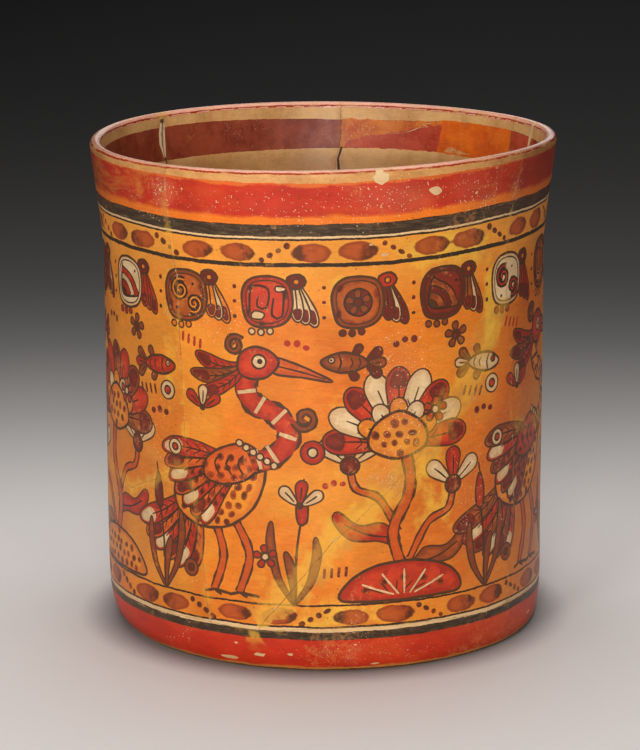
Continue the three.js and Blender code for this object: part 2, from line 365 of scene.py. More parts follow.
def scroll(brush, x, y, radius, turns=1.6, start=0.0, colour=None, width=1.0):
    """A spiral drawn with one stroke, over a wider one of colour where it has one"""
    steps = round(14 * turns)
    line = []
    for i in range(steps + 1):
        t = i / steps
        angle = radians(start) + 2 * pi * turns * t
        reach = radius * (1 - 0.82 * t)
        line.append((x + reach * cos(angle), y + reach * sin(angle)))
    if colour:
        brush.tube(line, 2.6 * width, colour, 0.9)
    else:
        brush.stroke(line, width, ends=0.5)


def rosette(brush, x, y, radius, petals, colour, heart):
    for i in range(petals):
        angle = 2 * pi * (i + 0.25) / petals
        root = (x + 0.2 * radius * cos(angle), y + 0.2 * radius * sin(angle))
        tip = (x + radius * cos(angle), y + radius * sin(angle))
        leaf(brush, root, tip, 1.5 * radius / petals ** 0.6, colour, rib=False)
    brush.disc(x, y, 0.34 * radius, heart, 0.9)


def dots(brush, places, radius=1.1, colour="dark"):
    for x, y in places:
        brush.disc(x, y, radius, colour, 0.0, dice.uniform(0.8, 1.15))


# The ornament: a row of medallions under the upper line, and below it herons among water plants


def medallion(u, v, kind, colour, other):
    """A cartouche with a device in it, and a tuft of three plumes beside it"""
    outer = Brush(u, v, 1, dice.uniform(-4, 4))
    # the tuft and its knot
    plume = "cream" if colour != "cream" else other
    for i, x in enumerate((11.98, 9.02, 6.26)):
        leaf(outer, (5.6, 7.4 - 0.6 * i), (x, -8.4 + 0.9 * i), 4.4, plume if i == 1 else other, "dark")
    knot = [(3.4, 8.2), (7.4, 9), (9.4, 6.6), (7.6, 4.4), (3.6, 4.6)]
    outer.area(knot, "dark" if other != "dark" else "red", 0.8)
    outer.disc(6.2, 6.6, 1.0, "hide", 0.6)
    # the cartouche, with soft spots in it and three beads under it
    shape = [(-12, -2.4), (-12, 4.2), (-8.6, 8.2), (-1.2, 8.6), (3.8, 5.6), (4.6, -1.6), (2, -6.8),
             (-4.2, -8.4), (-10, -7)]
    outer.area(shape, colour, 0.9)
    inset = [(-4 + 0.84 * (x + 4), 0.84 * y) for x, y in shape]
    outer.stroke(inset + inset[:1], 0.5, ends=0.8)
    outer.spot(-10.4, -3.4, 4.6, 2.4, 80)
    outer.spot(-6.4, -6.8, 4.4, 2.4, -20)
    outer.spot(-9.4, 5.4, 3.6, 2.4, 50)
    outer.spot(2.4, 2.4, 3.8, 2.4, -80)
    for i in range(3):
        outer.disc(-9.4 + 3.1 * i, -9.6 + 0.3 * i * (i - 2), 1.1, other, 0.6)
    brush = Brush(u - 3.8, v, 0.62, dice.uniform(-6, 6))
    if kind == "flower":
        brush.disc(0, 0, 7.4, other, 0.6)
        rosette(brush, 0, 0, 6.8, 5, colour, "dark")
    elif kind == "shell":
        quarter = [pi / 2 * i / 5 for i in range(6)]
        for reach, shade in ((17, other), (13, colour), (9, other), (5, "black")):
            arc = [(-8 + reach * cos(a), -7 + 0.84 * reach * sin(a)) for a in quarter]
            brush.area([(-8, -7)] + arc, shade, 0.6 if shade != "black" else 0)
        dots(brush, [(7.4, 6.4), (-7, 8.8)], 0.9, "black")
    elif kind == "fret":
        brush.stroke([(-9, -7), (-9, 7), (0, 7), (0, -3), (-5, -3), (-5, 2.4)], 0.8, ends=0.8)
        brush.stroke([(8.6, 7), (8.6, -7), (3.4, -7), (3.4, 2.6)], 0.8, ends=0.8)
        brush.area([(-7.8, -9.4), (-2, -9.4), (-1, -6.2), (-6.6, -5.6)], other, 0.6)
        brush.area([(4.2, 9), (9.4, 8.6), (8.6, 6.6), (4.4, 6.2)], other, 0.6)
    else:
        scroll(brush, -3.6, 2.6, 6.0, 1.5, 60, other, 0.9)
        scroll(brush, 5.6, -4.2, 5.0, 1.4, 240, other, 0.9)
        dots(brush, [(5, 6.4), (-6, -7.4)], 0.9, "black")


def hide_spots(brush, outline):
    """Soft dark spots over a shape, in uneven rows"""
    pitch, edge = 4.1, 1.1
    xs, ys = [p[0] for p in outline], [p[1] for p in outline]
    row = 0
    y = min(ys) + 0.5 * pitch
    while y < max(ys):
        x = min(xs) + (0.3 + 0.5 * (row % 2)) * pitch
        while x < max(xs):
            px, py = x + dice.uniform(-0.6, 0.6), y + dice.uniform(-0.5, 0.5)
            ring = np.array([(px + edge * cos(a), py + edge * sin(a)) for a in around(6)])
            if within(ring[:, 0], ring[:, 1], outline).all():
                brush.spot(px, py, dice.uniform(2.6, 3.7), dice.uniform(2.2, 3.1), dice.uniform(0, 90))
            x += pitch
        y += 0.82 * pitch
        row += 1


def heron(u, v, feathers, tips, neck):
    brush = Brush(u, v, 0.95)
    # legs and feet
    for hip, knee, foot in (((-5, 27), (-2, 15), (-6, 2.2)), ((3, 28), (8, 16), (4, 2.2))):
        brush.tube([hip, knee, foot], 2.9, "orange", 0.7)
        for toe in ((7.5, -1), (3, -1.6), (-4, -1.2)):
            brush.stroke([foot, (foot[0] + toe[0], foot[1] + toe[1])], 1.1)
    # tail, body and wing
    fan(brush, (-12, 38), 262, 208, 6, 31, 7.5, feathers, tips, 1.12, 0.05, 3)
    belly = [(14, 46), (10, 34), (0, 26), (-13, 25), (-22, 31), (-21, 42), (-10, 50), (2, 55), (11, 53)]
    brush.area(belly, "hide", 1.0)
    hide_spots(brush, belly)
    fan(brush, (6, 50), 236, 178, 7, 29, 7.2, feathers[::-1], tips[::-1], 1.18, -0.06, 3)
    brush.area([(13, 51), (8, 44), (-1, 41), (-9, 43), (-8, 50), (0, 55), (8, 56)], feathers[0], 0.9)
    for i in range(3):
        brush.stroke([(6 - 4.5 * i, 45 - 0.4 * i), (4 - 4.5 * i, 48.5), (6 - 4.2 * i, 52)], 0.75)
    # neck, with bars across it and a string of beads
    brush.tube([(9, 49), (18, 53), (22.5, 60), (18, 67), (10, 71), (7, 77), (10, 83)], 7.6, neck, 0.9)
    bars = (((12.5, 47.5), (10.5, 54.5)), ((18.5, 50), (14.5, 56)), ((25, 58.5), (19, 60.5)),
            ((21.5, 69), (16.5, 64)), ((14, 73.3), (10.5, 67.5)), ((10.8, 75.6), (4.2, 74.5)))
    for bar in bars:
        brush.stroke(bar, 1.3, "dark" if neck == "hide" else "cream", 0.8)
    if neck == "hide":
        for x, y in ((15, 48.6), (19.6, 51.2), (22.2, 55.6), (24, 63), (20.6, 66.6), (15, 68.2), (9, 70.4),
                     (9, 78.6)):
            brush.spot(x, y, 3.4, 2.6, 40)
            brush.spot(x - 3.4, y + 2.2, 2.6, 2.2, -30)
    for i in range(6):
        brush.disc(4.6 + 2.5 * i, 56.4 - 1.5 * i, 1.25, "cream", 0.6)
    # crest, bill, head and eye, and a scroll before the breast
    for tip in ((-12, 87), (-14, 80), (-9.5, 73.5)):
        leaf(brush, (7, 84), tip, 5.2, "umber" if tip[1] == 80 else "red", "dark", 0.1, barbs=3)
    brush.area([(17, 87.5), (27, 84.5), (37.5, 79), (28, 80.4), (17, 82)], "orange", 0.8)
    brush.stroke([(17, 84.8), (27, 82.4), (35, 79.9)], 0.6)
    brush.area([(4.5, 82), (5, 88), (10, 91), (16, 89.6), (19, 85.5), (15, 80.6), (9, 79.6)], "red", 0.9)
    brush.disc(12, 85.8, 2.5, "cream", 0.7)
    brush.disc(12.3, 85.9, 1.0, "black", 0.0)
    scroll(brush, 28, 66, 4.2, 1.3, 200, "umber" if neck == "red" else "red", 0.8)


def water_plant(u, v, hand, petals, pad):
    brush = Brush(u, v, 0.97, 0, hand)
    # a bud on a stalk and a blade on each side
    for side, low in ((-1, 20), (1, 30)):
        stalk = [(2 * side, low - 6), (9 * side, low + 6), (17 * side, low + 10), (19 * side, low + 18)]
        brush.tube(stalk, 2.4, "orange", 0.7)
        fan(brush, stalk[-1], 40, 140, 3, 13, 6, ("cream", "red"))
        brush.disc(*stalk[-1], 3.2, "dark", 0.8)
        blade = [(side, low - 12), (9 * side, low - 9), (19 * side, low - 8), (25 * side, low - 1),
                 (23 * side, low + 2), (16 * side, low - 3), (7 * side, low - 3)]
        brush.area(blade, "red" if side > 0 else "umber")
        brush.stroke([(4 * side, low - 8), (13 * side, low - 6.4), (21 * side, low - 2.6)], 0.7)
    # the flower on its stem
    brush.tube([(0, 9), (4, 24), (-2, 38), (-1, 50), (2, 57)], 3.8, "orange", 0.8)
    fan(brush, (2, 55), 4, 176, 9, 26, 9, petals, ("dark", None), 1.0, 0.0, 2)
    fan(brush, (2, 55), 28, 152, 5, 15.5, 6.5, ("hide", "cream"))
    heart = [(-8, 53.5), (-7, 61), (2, 66), (11, 61), (12, 53.5), (2, 49.5)]
    brush.area(heart, "hide", 1.0)
    hide_spots(brush, heart)
    # the leaf that floats at its foot
    leaf_pad = [(-22, 0.6), (-19, 8), (-9, 12.4), (2, 13.4), (13, 11.4), (21, 5.6), (22, 0.6), (8, -0.2),
                (-8, -0.2)]
    brush.area(leaf_pad, pad, 1.0)
    if pad == "hide":
        hide_spots(brush, leaf_pad)
    else:
        for x, y in ((-15, 6.5), (-8, 9.5), (0, 10.6), (8, 9.4), (15, 6)):
            brush.stroke([(0.25 * x, 1.8), (0.7 * x, 0.6 * y + 0.6), (x, y)], 0.7, "cream")
            brush.stroke([(0.3 * x + 3, 2.4), (0.7 * x + 2.6, 0.5 * y + 1.4)], 0.5)
            brush.spot(0.92 * x, 0.8 * y - 1, 3.6, 2.8, 20)


def fish(u, v, size, slant, hand, colour, other):
    brush = Brush(u, v, size, slant, hand)
    fan(brush, (-5.5, 0), 140, 220, 3, 7.5, 3.6, (other, colour))
    leaf(brush, (-1.5, 2), (-4, 6.4), 3, other, rib=False)
    leaf(brush, (0, -2), (-3, -6), 3, other, rib=False)
    side = [(-7, 0), (-3, 2.8), (3, 3.6), (8.4, 1.6), (9.6, 0), (8, -1.8), (3, -3.4), (-3, -2.6)]
    brush.area(side, colour, 0.9)
    brush.stroke([(3.6, 3), (2.6, 0), (3.6, -2.8)], 0.7)
    for x in (-0.6, -3.4):
        brush.stroke([(x, 1.8), (x - 0.8, 0), (x, -1.7)], 0.6)
    brush.disc(6, 0.9, 1.1, "cream" if colour != "cream" else "red", 0.6)
    brush.disc(6.1, 0.9, 0.45, "black", 0.0)


def reeds(u, v, hand, head):
    brush = Brush(u, v, 1, 0, hand)
    for root, tip, bend in ((0, (-7, 27), 0.1), (1.5, (8, 22), -0.12), (0.5, (-2, 17), -0.05)):
        leaf(brush, (root, 0), tip, 3.0, "umber", bend=bend, rib=False)
    brush.stroke([(1, 0), (1.6, 17), (3.4, 30)], 0.9)
    brush.area([(2.2, 27), (1.6, 33), (3.6, 39), (5.4, 33.4), (4.8, 27.4)], head, 0.8)
    brush.stroke([(3.6, 39), (4.2, 42.4)], 0.7)


def small_motif(u, v, kind, size, colour, heart):
    brush = Brush(u, v, size, dice.uniform(-15, 15), dice.choice((1, -1)))
    if kind == "rosette":
        rosette(brush, 0, 0, 5.4, 5, colour, heart)
    elif kind == "ring":
        brush.disc(0, 0, 4.0, colour)
        brush.disc(0, 0, 1.7, heart, 0.7)
    elif kind == "scroll":
        scroll(brush, 0, 0, 4.6, 1.5, 30, colour, 0.9)
    elif kind == "sprig":
        fan(brush, (0, -4), 40, 140, 3, 10, 4.6, (colour, heart))
        brush.disc(0, -3.4, 1.5, "black", 0.0)
    elif kind == "strokes":
        for i in range(4):
            brush.stroke([(3 * i - 4.5, -2), (3 * i - 3.8, 2.2)], 1.0, colour)
    else:
        dots(brush, [(-3.2, 0), (0, 0.7), (3.2, 0)], 1.15, colour)


medallion_kinds = ("flower", "shell", "scrolls", "fret")
medallion_colours = (("dark", "umber"), ("cream", "red"), ("umber", "hide"), ("red", "cream"),
                     ("umber", "dark"))
medallion_count, medallion_height = 16, 126.4
for i in range(medallion_count):
    u = -girth / 2 + girth * (i + 0.5) / medallion_count
    v = medallion_height + dice.uniform(-0.5, 0.5)
    medallion(u, v, medallion_kinds[i % 4], *medallion_colours[(i + 1) % 5])
    if i:
        for v, colour in ((121.3, "black"), (126.4, "dark"), (131.3, "dark")):
            dots(Brush(u - girth / medallion_count / 2, v), [(0, 0)], 0.7, colour)

repeat = girth / 4
bird_feathers = (("umber", "dark"), ("orange", "red"), ("red", "umber"), ("dark", "red"))
bird_tips = (("cream", "red"), ("dark", "cream"), ("cream", "dark"), ("cream", "hide"))
plant_petals = (("umber", "red"), ("red", "cream"), ("red", "hide"), ("dark", "orange"))
# Small motifs round each heron, as (distance from it, height, kind, size, colour, heart)
small_motifs = (
    (-28, 85, "dots", 1.0, "dark", "dark"), (-13, 111.5, "strokes", 0.8, "red", "red"),
    (-9, 92, "sprig", 0.8, "red", "cream"), (29, 76, "ring", 1.0, "red", "cream"),
    (24, 112, "dots", 1.0, "red", "dark"), (25, 61, "sprig", 0.9, "cream", "red"),
    (13, 40, "rosette", 0.75, "red", "cream"), (-15, 33, "ring", 0.75, "umber", "dark"),
    (-21, 74, "ring", 0.7, "cream", "red"), (3, 111.5, "scroll", 0.7, "umber", "red"),
    (71, 88, "rosette", 0.8, "red", "cream"), (86, 92, "strokes", 0.8, "dark", "red"),
    (60, 112, "dots", 1.0, "dark", "dark"), (79, 112, "rosette", 0.8, "umber", "dark"),
    (-24, 93, "ring", 0.8, "cream", "red"), (36, 65, "dots", 0.9, "red", "dark"),
    (36, 35, "strokes", 0.8, "dark", "red"),
)
first_heron = -33
for i in range(4):
    odd = i % 2
    u = first_heron + (i - 1) * repeat
    heron(u, scene_bottom, bird_feathers[i], bird_tips[i], ("hide", "red")[odd])
    middle = u + repeat / 2 if i < 3 else u + repeat / 2 - girth
    reeds(u + 22, scene_bottom, 1, ("dark", "red")[odd])
    reeds(u - 26 if i else u - 26 + girth, scene_bottom, -1, ("red", "dark")[odd])
    water_plant(middle, scene_bottom, (1, -1)[odd], plant_petals[i], ("hide", "red")[odd])
    fish(u + 41, 106, 0.95, dice.uniform(-8, 8), -1, ("red", "umber")[odd], "dark")
    fish(u - 29, 101, 0.9, dice.uniform(-14, 4), 1, ("cream", "red")[odd], "umber")
    for along, v, *kind in small_motifs:
        small_motif(u + along, v, *kind)

# The two bands of large soft spots, in pairs with slanting rows of dots between them
pair_count, pair_apart, dot_count, dot_step = 12, 7.5, 4, 2.8
for middle_height, half_wide, first in ((143.0, 3.3, -16.0), (19.65, 3.0, -3.6)):
    for i in range(pair_count):
        rising = i % 4 == 1
        u = -girth / 2 + girth * (i + 0.5) / pair_count + first
        for side in (-1, 1):
            end = 1.0 if (i + side) % 5 else -1.0
            v = middle_height + dice.uniform(-0.3, 0.3)
            lifted = v + float(wobble(u + 7 * side, v))
            soft_spots.append((u + side * pair_apart + dice.uniform(-0.5, 0.5), lifted,
                               dice.uniform(6.0, 7.2), half_wide * dice.uniform(0.92, 1.05),
                               radians(dice.uniform(-5, 5)), end))
        gap = u + girth / pair_count / 2
        if gap < girth / 2:
            for j in range(dot_count):
                v = middle_height + half_wide * (0.75 - 0.5 * (dot_count - 1 - j if rising else j))
                soft_spots.append((gap - 1.5 * dot_step + dot_step * j, v + float(wobble(gap, v)),
                                   dice.uniform(0.9, 1.5), dice.uniform(0.8, 1.2),
                                   radians(30 if rising else -30), 0.75))

# Bare clay where the slip has flaked off
flakes = ((36, 161.2, 4.9, 2.7), (-56, 161.5, 1.1, 1.4), (-22.5, 5.4, 4.5, 1.5), (-31, 9.0, 1.3, 0.7),
          (-33.5, 3.2, 7.5, 1.6), (-12, 6.2, 2.0, 0.8), (17, 2.4, 3.4, 0.7), (-47, 163, 0.9, 0.8),
          (10, 9.8, 1.4, 0.5), (52, 158, 1.1, 0.9), (19.5, 141.6, 2.4, 1.2), (15, 145.2, 1.8, 0.7),
          (150, 161, 3.5, 2.0), (-120, 7, 4.0, 1.6), (-175, 160, 2.6, 1.4), (92, 6, 3.2, 1.3))
for u, v, wide, tall in flakes:
    edge = [(u + wide / 2 * cos(a) * dice.uniform(0.65, 1.25), v + tall / 2 * sin(a) * dice.uniform(0.6, 1.3))
            for a in around(9)]
    paint(smooth(edge, step=0.7), "bare")


# Break lines, which run as in the CAD model


def base_break_height(angle):
    turn = radians(angle)
    wave = 0.5 * sin(3 * turn + 1) + 0.3 * sin(7 * turn) + 0.2 * sin(11 * turn + 2)
    return floor_thickness + base_break_above + base_break_wave * wave


def to_base(angle):
    """The end of a break that runs down to the break round the base"""
    return (angle, (base_break_height(angle) - base_break_wave) / height)


# Breaks as (angle, share of the height) from turning point to turning point
over_lip = 1.06
left_meeting, right_meeting, far_meeting = (-37, 0.4), (56, 0.45), (108, 0.42)
diagonal_start, wedge_tip, back_meeting = (53.2, 0.71), (110.5, 0.6), (184, 0.45)
strip_meeting, lower_left_start = (232, 0.48), (276, 0.35)
lower_back_start, lower_right_start = (212, 0.41), (152, 0.4)

breaks = [
    [(-39.8, over_lip), (-39.8, 0.985), (-41.6, 0.917), (-40.7, 0.88), (-39.1, 0.734), (-38.4, 0.633),
     left_meeting, (-33, 0.24), to_base(-30)],
    [(55.4, over_lip), (55.4, 0.987), (52.8, 0.87), (52.6, 0.774), diagonal_start, (55.5, 0.58),
     right_meeting, (57.5, 0.27), to_base(54)],
    [diagonal_start, (38, 0.56), (22, 0.41), (2, 0.27), to_base(-18)],
    [(105.4, over_lip), (105.4, 0.985), (107.4, 0.94), (108.4, 0.8), wedge_tip, far_meeting],
    [(117.5, over_lip), (117.4, 0.985), (116.6, 0.85), (114.5, 0.72), wedge_tip],
    [(174.9, over_lip), (174.9, 0.93), (176.4, 0.85), (178.5, 0.68), back_meeting],
    [(228.8, over_lip), (228.8, 0.985), (230.2, 0.93), (229.8, 0.9), (228.4, 0.74), strip_meeting],
    [right_meeting, (74, 0.43), (90, 0.47), far_meeting, (130, 0.36), lower_right_start, (168, 0.46),
     back_meeting, lower_back_start, strip_meeting, (254, 0.42), lower_left_start, (300, 0.32),
     (left_meeting[0] + 360, 0.4)],
    [lower_right_start, (156, 0.25), to_base(159)],
    [lower_back_start, (207, 0.27), to_base(211)],
    [lower_left_start, (281, 0.2), to_base(278)],
]
# How wide the restorer's repainting is along each break, and along the one round the base
repaint_widths = [3.6, 2.6, 10.5, 3.0, 3.0, 4.0, 5.0, 5.0, 4.0, 4.0, 4.0, 2.4]
repaint_strengths = [0.5, 0.4, 1.0, 0.5, 0.5, 0.7, 0.8, 0.7, 0.7, 0.7, 0.7, 0.3]

# Soft patches of yellow wash, pale dust, which near the front also stands in for a painted sheen, scratches,
# and painted shade at the sides, as (u, v, half length, half height, strength)
patches = {
    "yellow": [(41, 141, 17, 6, 1), (61, 120, 3.4, 15, 1), (4, 128, 3.5, 6, 0.8), (35, 66, 6, 20, 0.6),
               (-56, 120, 2.6, 34, 0.55), (3, 19.5, 22, 4, 0.8), (-12, 29, 10, 5, 0.5), (8, 80, 12, 11, 0.5),
               (43, 56, 4, 8, 0.7), (-86, 128, 5, 9, 0.4), (120, 70, 14, 22, 0.6), (-160, 50, 16, 14, 0.6),
               (195, 130, 22, 10, 0.7), (-210, 95, 10, 20, 0.6)],
    # the patches at (-20, 158) and (-2, 152) are a painted sheen on the bands under the lip, the rest pale
    # dust
    "dust_and_sheen": [(-54, 161, 5, 6, 1), (22, 160, 17, 7, 0.9), (26, 95, 10, 24, 0.85), (-20, 158, 26, 5, 0.5),
             (50, 60, 12, 14, 0.5), (-60, 75, 14, 20, 0.35), (72, 157, 3, 6, 0.8), (15, 7, 30, 4, 0.4),
             (48, 160, 12, 8, 0.7), (150, 110, 20, 25, 0.6), (-170, 90, 20, 30, 0.6), (-2, 152, 20, 3, 0.6),
             (-38, 120, 12, 10, 0.6)],
    "scratched": [(-100, 160, 30, 8, 1), (-66, 162, 8, 5, 0.6), (58, 163, 8, 4, 0.4), (170, 161, 20, 6, 0.8)],
    "side_shade": [(90, 164, 26, 11, 1), (-106, 162, 22, 10, 1), (-80, 78, 26, 60, 0.25), (78, 78, 26, 60, 0.18)],
}

# The sherds of the wall, each with a place on it as (angle, share of the height)
wall_sherds = {
    "rim_sherd_front": (8, 0.72), "rim_sherd_right": (80, 0.72), "rim_sherd_wedge": (111, 0.82),
    "rim_sherd_back_right": (146, 0.68), "rim_sherd_back_left": (203, 0.68), "rim_sherd_left": (276, 0.66),
    "lower_sherd_front": (34, 0.3), "lower_sherd_right": (100, 0.25), "lower_sherd_back_right": (183, 0.27),
    "lower_sherd_back_left": (245, 0.25), "lower_sherd_left": (303, 0.22),
}


def break_line(turns, seed):
    """(angle, height, lean) along a break, in short facets between its turning points"""
    line = []
    for leg, (start, end) in enumerate(zip(turns, turns[1:])):
        across = radians(end[0] - start[0]) * wall_radius
        up = (end[1] - start[1]) * height
        length = hypot(across, up)
        steps = max(1, floor(length / break_step + 0.5))
        for i in range(steps):
            t = i / steps
            angle, share = between(start, end, t)
            aside = break_wander * stray(seed + 3 * leg + i) * sin(pi * t)
            lean = break_lean * stray(2 * seed + leg + i) * sin(pi * t)
            line.append((angle - degrees(aside * up / length / wall_radius),
                         share * height + aside * across / length, lean))
    return line + [(turns[-1][0], turns[-1][1] * height, 0.0)]


def roughened(line):
    """The same line with the fine teeth of broken clay, on its outer side"""
    fine = []
    for start, end in zip(line, line[1:]):
        across, up = radians(end[0] - start[0]) * wall_radius, end[1] - start[1]
        length = hypot(across, up)
        count = max(1, round(length / fine_step))
        for i in range(count):
            angle, z, lean = between(start, end, i / count)
            aside = dice.uniform(-1, 1) * fine_wander if i else 0
            turned = degrees(aside * up / length / wall_radius)
            fine.append((angle - turned, z + aside * across / length, lean))
    return fine + [line[-1]]


break_lines = [roughened(break_line(turns, 5 * i)) for i, turns in enumerate(breaks)]
base_break = [(angle, base_break_height(angle), 0.0) for angle in (3.0 * i for i in range(120))]

# Sizes of the restorer's fills, as in the CAD model: the strip, the chip and the sliver at the lip, and the
# loss behind
strip_width, strip_top, strip_bottom = 3.0, 0.978 * height, 0.907 * height
chip_width, chip_depth = 5.8, 4.4
loss_width, loss_height, sliver_width, sliver_depth = 13.0, 15.0, 2.2, 9.0
loss_middle = back_meeting[1] * height

# The fills themselves, as (angle, height, width) along each
fills = {
    "filler_strip_left": [(229.1, strip_top, 0.7 * strip_width),
                          (229.9, 0.7 * strip_top + 0.3 * strip_bottom, strip_width),
                          (230.2, 0.4 * strip_top + 0.6 * strip_bottom, strip_width),
                          (229.9, strip_bottom, 0.3 * strip_width)],
    "lip_fill_front": [(13, height + 3, 0.42 * chip_width),
                       (13, height - 0.2 * chip_depth, 0.45 * chip_width),
                       (13.2, height - 0.4 * chip_depth, chip_width),
                       (13.3, height - 0.65 * chip_depth, 0.95 * chip_width),
                       (12.8, height - chip_depth, 0.4 * chip_width)],
    "lip_fill_right": [(105.4, height + 3, 0.9 * sliver_width),
                       (106.3, height - 0.5 * sliver_depth, sliver_width),
                       (107.1, height - sliver_depth, 0.6 * sliver_width)],
    "corner_fill_back": [
        (back_meeting[0] + 1.2 * share, loss_middle + share * loss_height, loss_width * wide)
        for share, wide in ((-0.5, 0.35), (-0.15, 1), (0.2, 0.85), (0.5, 0.4))],
}


def curtain(line, closed=False):
    """Points and faces of a thin curtain that passes through the wall along (angle, height, lean, width)"""
    inside, beyond = wall_radius - 2.2 * (wall_thickness + 2), rim_radius + 2 * wall_thickness
    count = len(line)
    points, faces = [], []
    for i, (angle, z, lean, width) in enumerate(line):
        before = line[i - 1] if closed or i else line[0]
        after = line[(i + 1) % count] if closed or i < count - 1 else line[-1]
        across = radians((after[0] - before[0] + 540) % 360 - 180) * wall_radius
        up = after[1] - before[1]
        length = hypot(across, up)
        for radius, side in ((inside, -1), (beyond, -1), (beyond, 1), (inside, 1)):
            aside = side * width / 2 + lean * (radius - wall_radius)
            turn = radians(angle) - up / length * aside / radius
            points.append((radius * sin(turn), -radius * cos(turn), z + across / length * aside))
    for i in range(count if closed else count - 1):
        for k in range(4):
            a, b = 4 * i + k, 4 * i + (k + 1) % 4
            c, d = 4 * ((i + 1) % count) + k, 4 * ((i + 1) % count) + (k + 1) % 4
            faces += [(a, b, d), (a, d, c)] if k < 2 else [(a, b, c), (b, d, c)]
    if not closed:
        last = 4 * (count - 1)
        faces += [(0, 2, 1), (0, 3, 2), (last, last + 1, last + 2), (last, last + 2, last + 3)]
    a, b, c = (np.array(points)[np.array(faces)[:, k]] for k in range(3))
    if np.einsum("ij,ij->i", a, np.cross(b, c)).sum() < 0:  # it would be inside out
        faces = [face[::-1] for face in faces]
    return points, faces


def base_cross_break():
    """Points and faces of a thin upright slab along the break across the base"""
    reach = 1.3 * rim_radius
    shares = ((-0.62, -0.2), (-0.3, 0.1), (0.12, 0.05), (0.45, 0.3))
    turns = [(x * foot_radius, y * foot_radius) for x, y in shares]
    turns = [(-reach, -0.35 * foot_radius)] + turns + [(reach, 0.22 * foot_radius)]
    half = hairline / 2
    count = len(turns)
    points = [(x, y + side * half, z) for z in (-10, height) for side in (-1, 1) for x, y in turns]
    faces = []
    for i in range(count - 1):
        low, low_far, high, high_far = (i + k * count for k in range(4))
        faces += [(low, low + 1, high + 1, high), (low_far + 1, low_far, high_far, high_far + 1),
                  (low + 1, low, low_far, low_far + 1), (high, high + 1, high_far + 1, high_far)]
    for i, turned in ((0, True), (count - 1, False)):
        face = (i, i + count, i + 3 * count, i + 2 * count)
        faces.append(face[::-1] if turned else face)
    return points, faces


# Paint on the inside: a dark band between two tan ones, which the restorer made good in orange on one side

inside_painted = []  # (outline, paint)


def on_inside(places, colour, rough=0.1):
    """An area of the inside wall, from (angle, height) round its outline"""
    outline = []
    for (a0, z0), (a1, z1) in sides(places):
        u0, u1 = radians(a0) * wall_radius, radians(a1) * wall_radius
        outline.append((u0, z0))
        outline += [(u + dice.uniform(-rough, rough), z + dice.uniform(-rough, rough))
                    for u, z in straight((u0, z0), (u1, z1), 1.2)[:-1]]
    inside_painted.append((outline, colour))


def crack_inside(places, widths, colour):
    """A narrow line down the inside wall, from (angle, height) along it"""
    wide = [degrees(w / 2 / wall_radius) for w in widths]
    left = [(angle - w, z) for (angle, z), w in zip(places, wide)]
    right = [(angle + w, z) for (angle, z), w in zip(places, wide)]
    on_inside(left + right[::-1], colour, 0.05)


# (angle, bottom, top) of the dark band
band_edges = [(0, 153.2, 163.9), (60, 152.8, 163.6), (104, 152.6, 164.0), (118, 153.2, 164.7),
              (145, 153.3, 164.7), (148, 153.3, 164.0), (160, 153.3, 163.4), (175, 152.9, 163.2),
              (200, 152.5, 163.9), (215, 152.5, 164.3), (245, 152.5, 164.6), (300, 152.9, 164.2),
              (360, 153.2, 163.9)]
on_inside([(a, top) for a, _, top in band_edges] + [(a, low) for a, low, _ in band_edges[::-1]], "inside_red")
# the part made good in orange, with its bright, torn and worn places
on_inside([(118, 164.7), (145, 164.8), (147.5, 163.9), (160, 163.5), (174.6, 163.5), (175, 153.3),
           (146, 153.2), (134, 152.6), (118, 153)], "inside_orange", 0.35)
on_inside([(118, 164.7), (145, 164.8), (146, 160), (146, 153.2), (134, 152.6), (118, 153)], "inside_bright")
on_inside([(174, 153.2), (172.6, 155.8), (168, 157.4), (162, 158.4), (160.6, 159.2), (156.4, 159.5),
           (154.6, 161), (150.5, 162), (149.5, 162.9), (147, 162.4), (145.2, 163), (145.4, 158),
           (145.8, 153.2)], "inside_deep", 0.3)
crack_inside([(161.2, 158.6), (158.6, 159), (156, 159.4), (154, 160.4), (152.4, 161.3), (149.6, 161.9),
              (151.2, 162.7), (148.8, 163.4)], (0.3, 0.7, 0.4, 0.9, 0.4, 0.7, 0.4, 0.9), "bare")
on_inside([(117.4, 164.6), (117.2, 153.2), (104, 152.7), (104, 163.9)], "inside_deep", 0.3)
on_inside([(142, 155.4), (138, 154.6), (134, 153.6), (139, 153.2), (143.5, 153.4)], "inside_worn", 0.4)
# narrow cracks along the joins, and painted shade laid as dark clay in a hole and open cracks
crack_inside([(107.2, 164.8), (106.9, 163), (107.3, 161)], (0.5, 1.7, 0.7), "bare")
crack_inside([(229.1, 167.3), (229.3, 166.6), (229.4, 165.7)], (1.6, 2.0, 1.0), "painted_hole_shade")
crack_inside([(229.9, 153.9), (229.7, 152.5), (229.3, 150)], (0.9, 0.6, 0.3), "painted_hole_shade")
crack_inside([(174.6, 153.4), (175.6, 149), (175.3, 143)], (1.0, 0.8, 1.0), "painted_hole_shade")


# Materials


def srgb(red, green, blue):
    """A colour from the 0 to 255 numbers of a picture"""
    levels = [c / 255 for c in (red, green, blue)]
    return tuple(c / 12.92 if c <= 10 / 255 else ((c + 0.055) / 1.055) ** 2.4 for c in levels) + (1,)


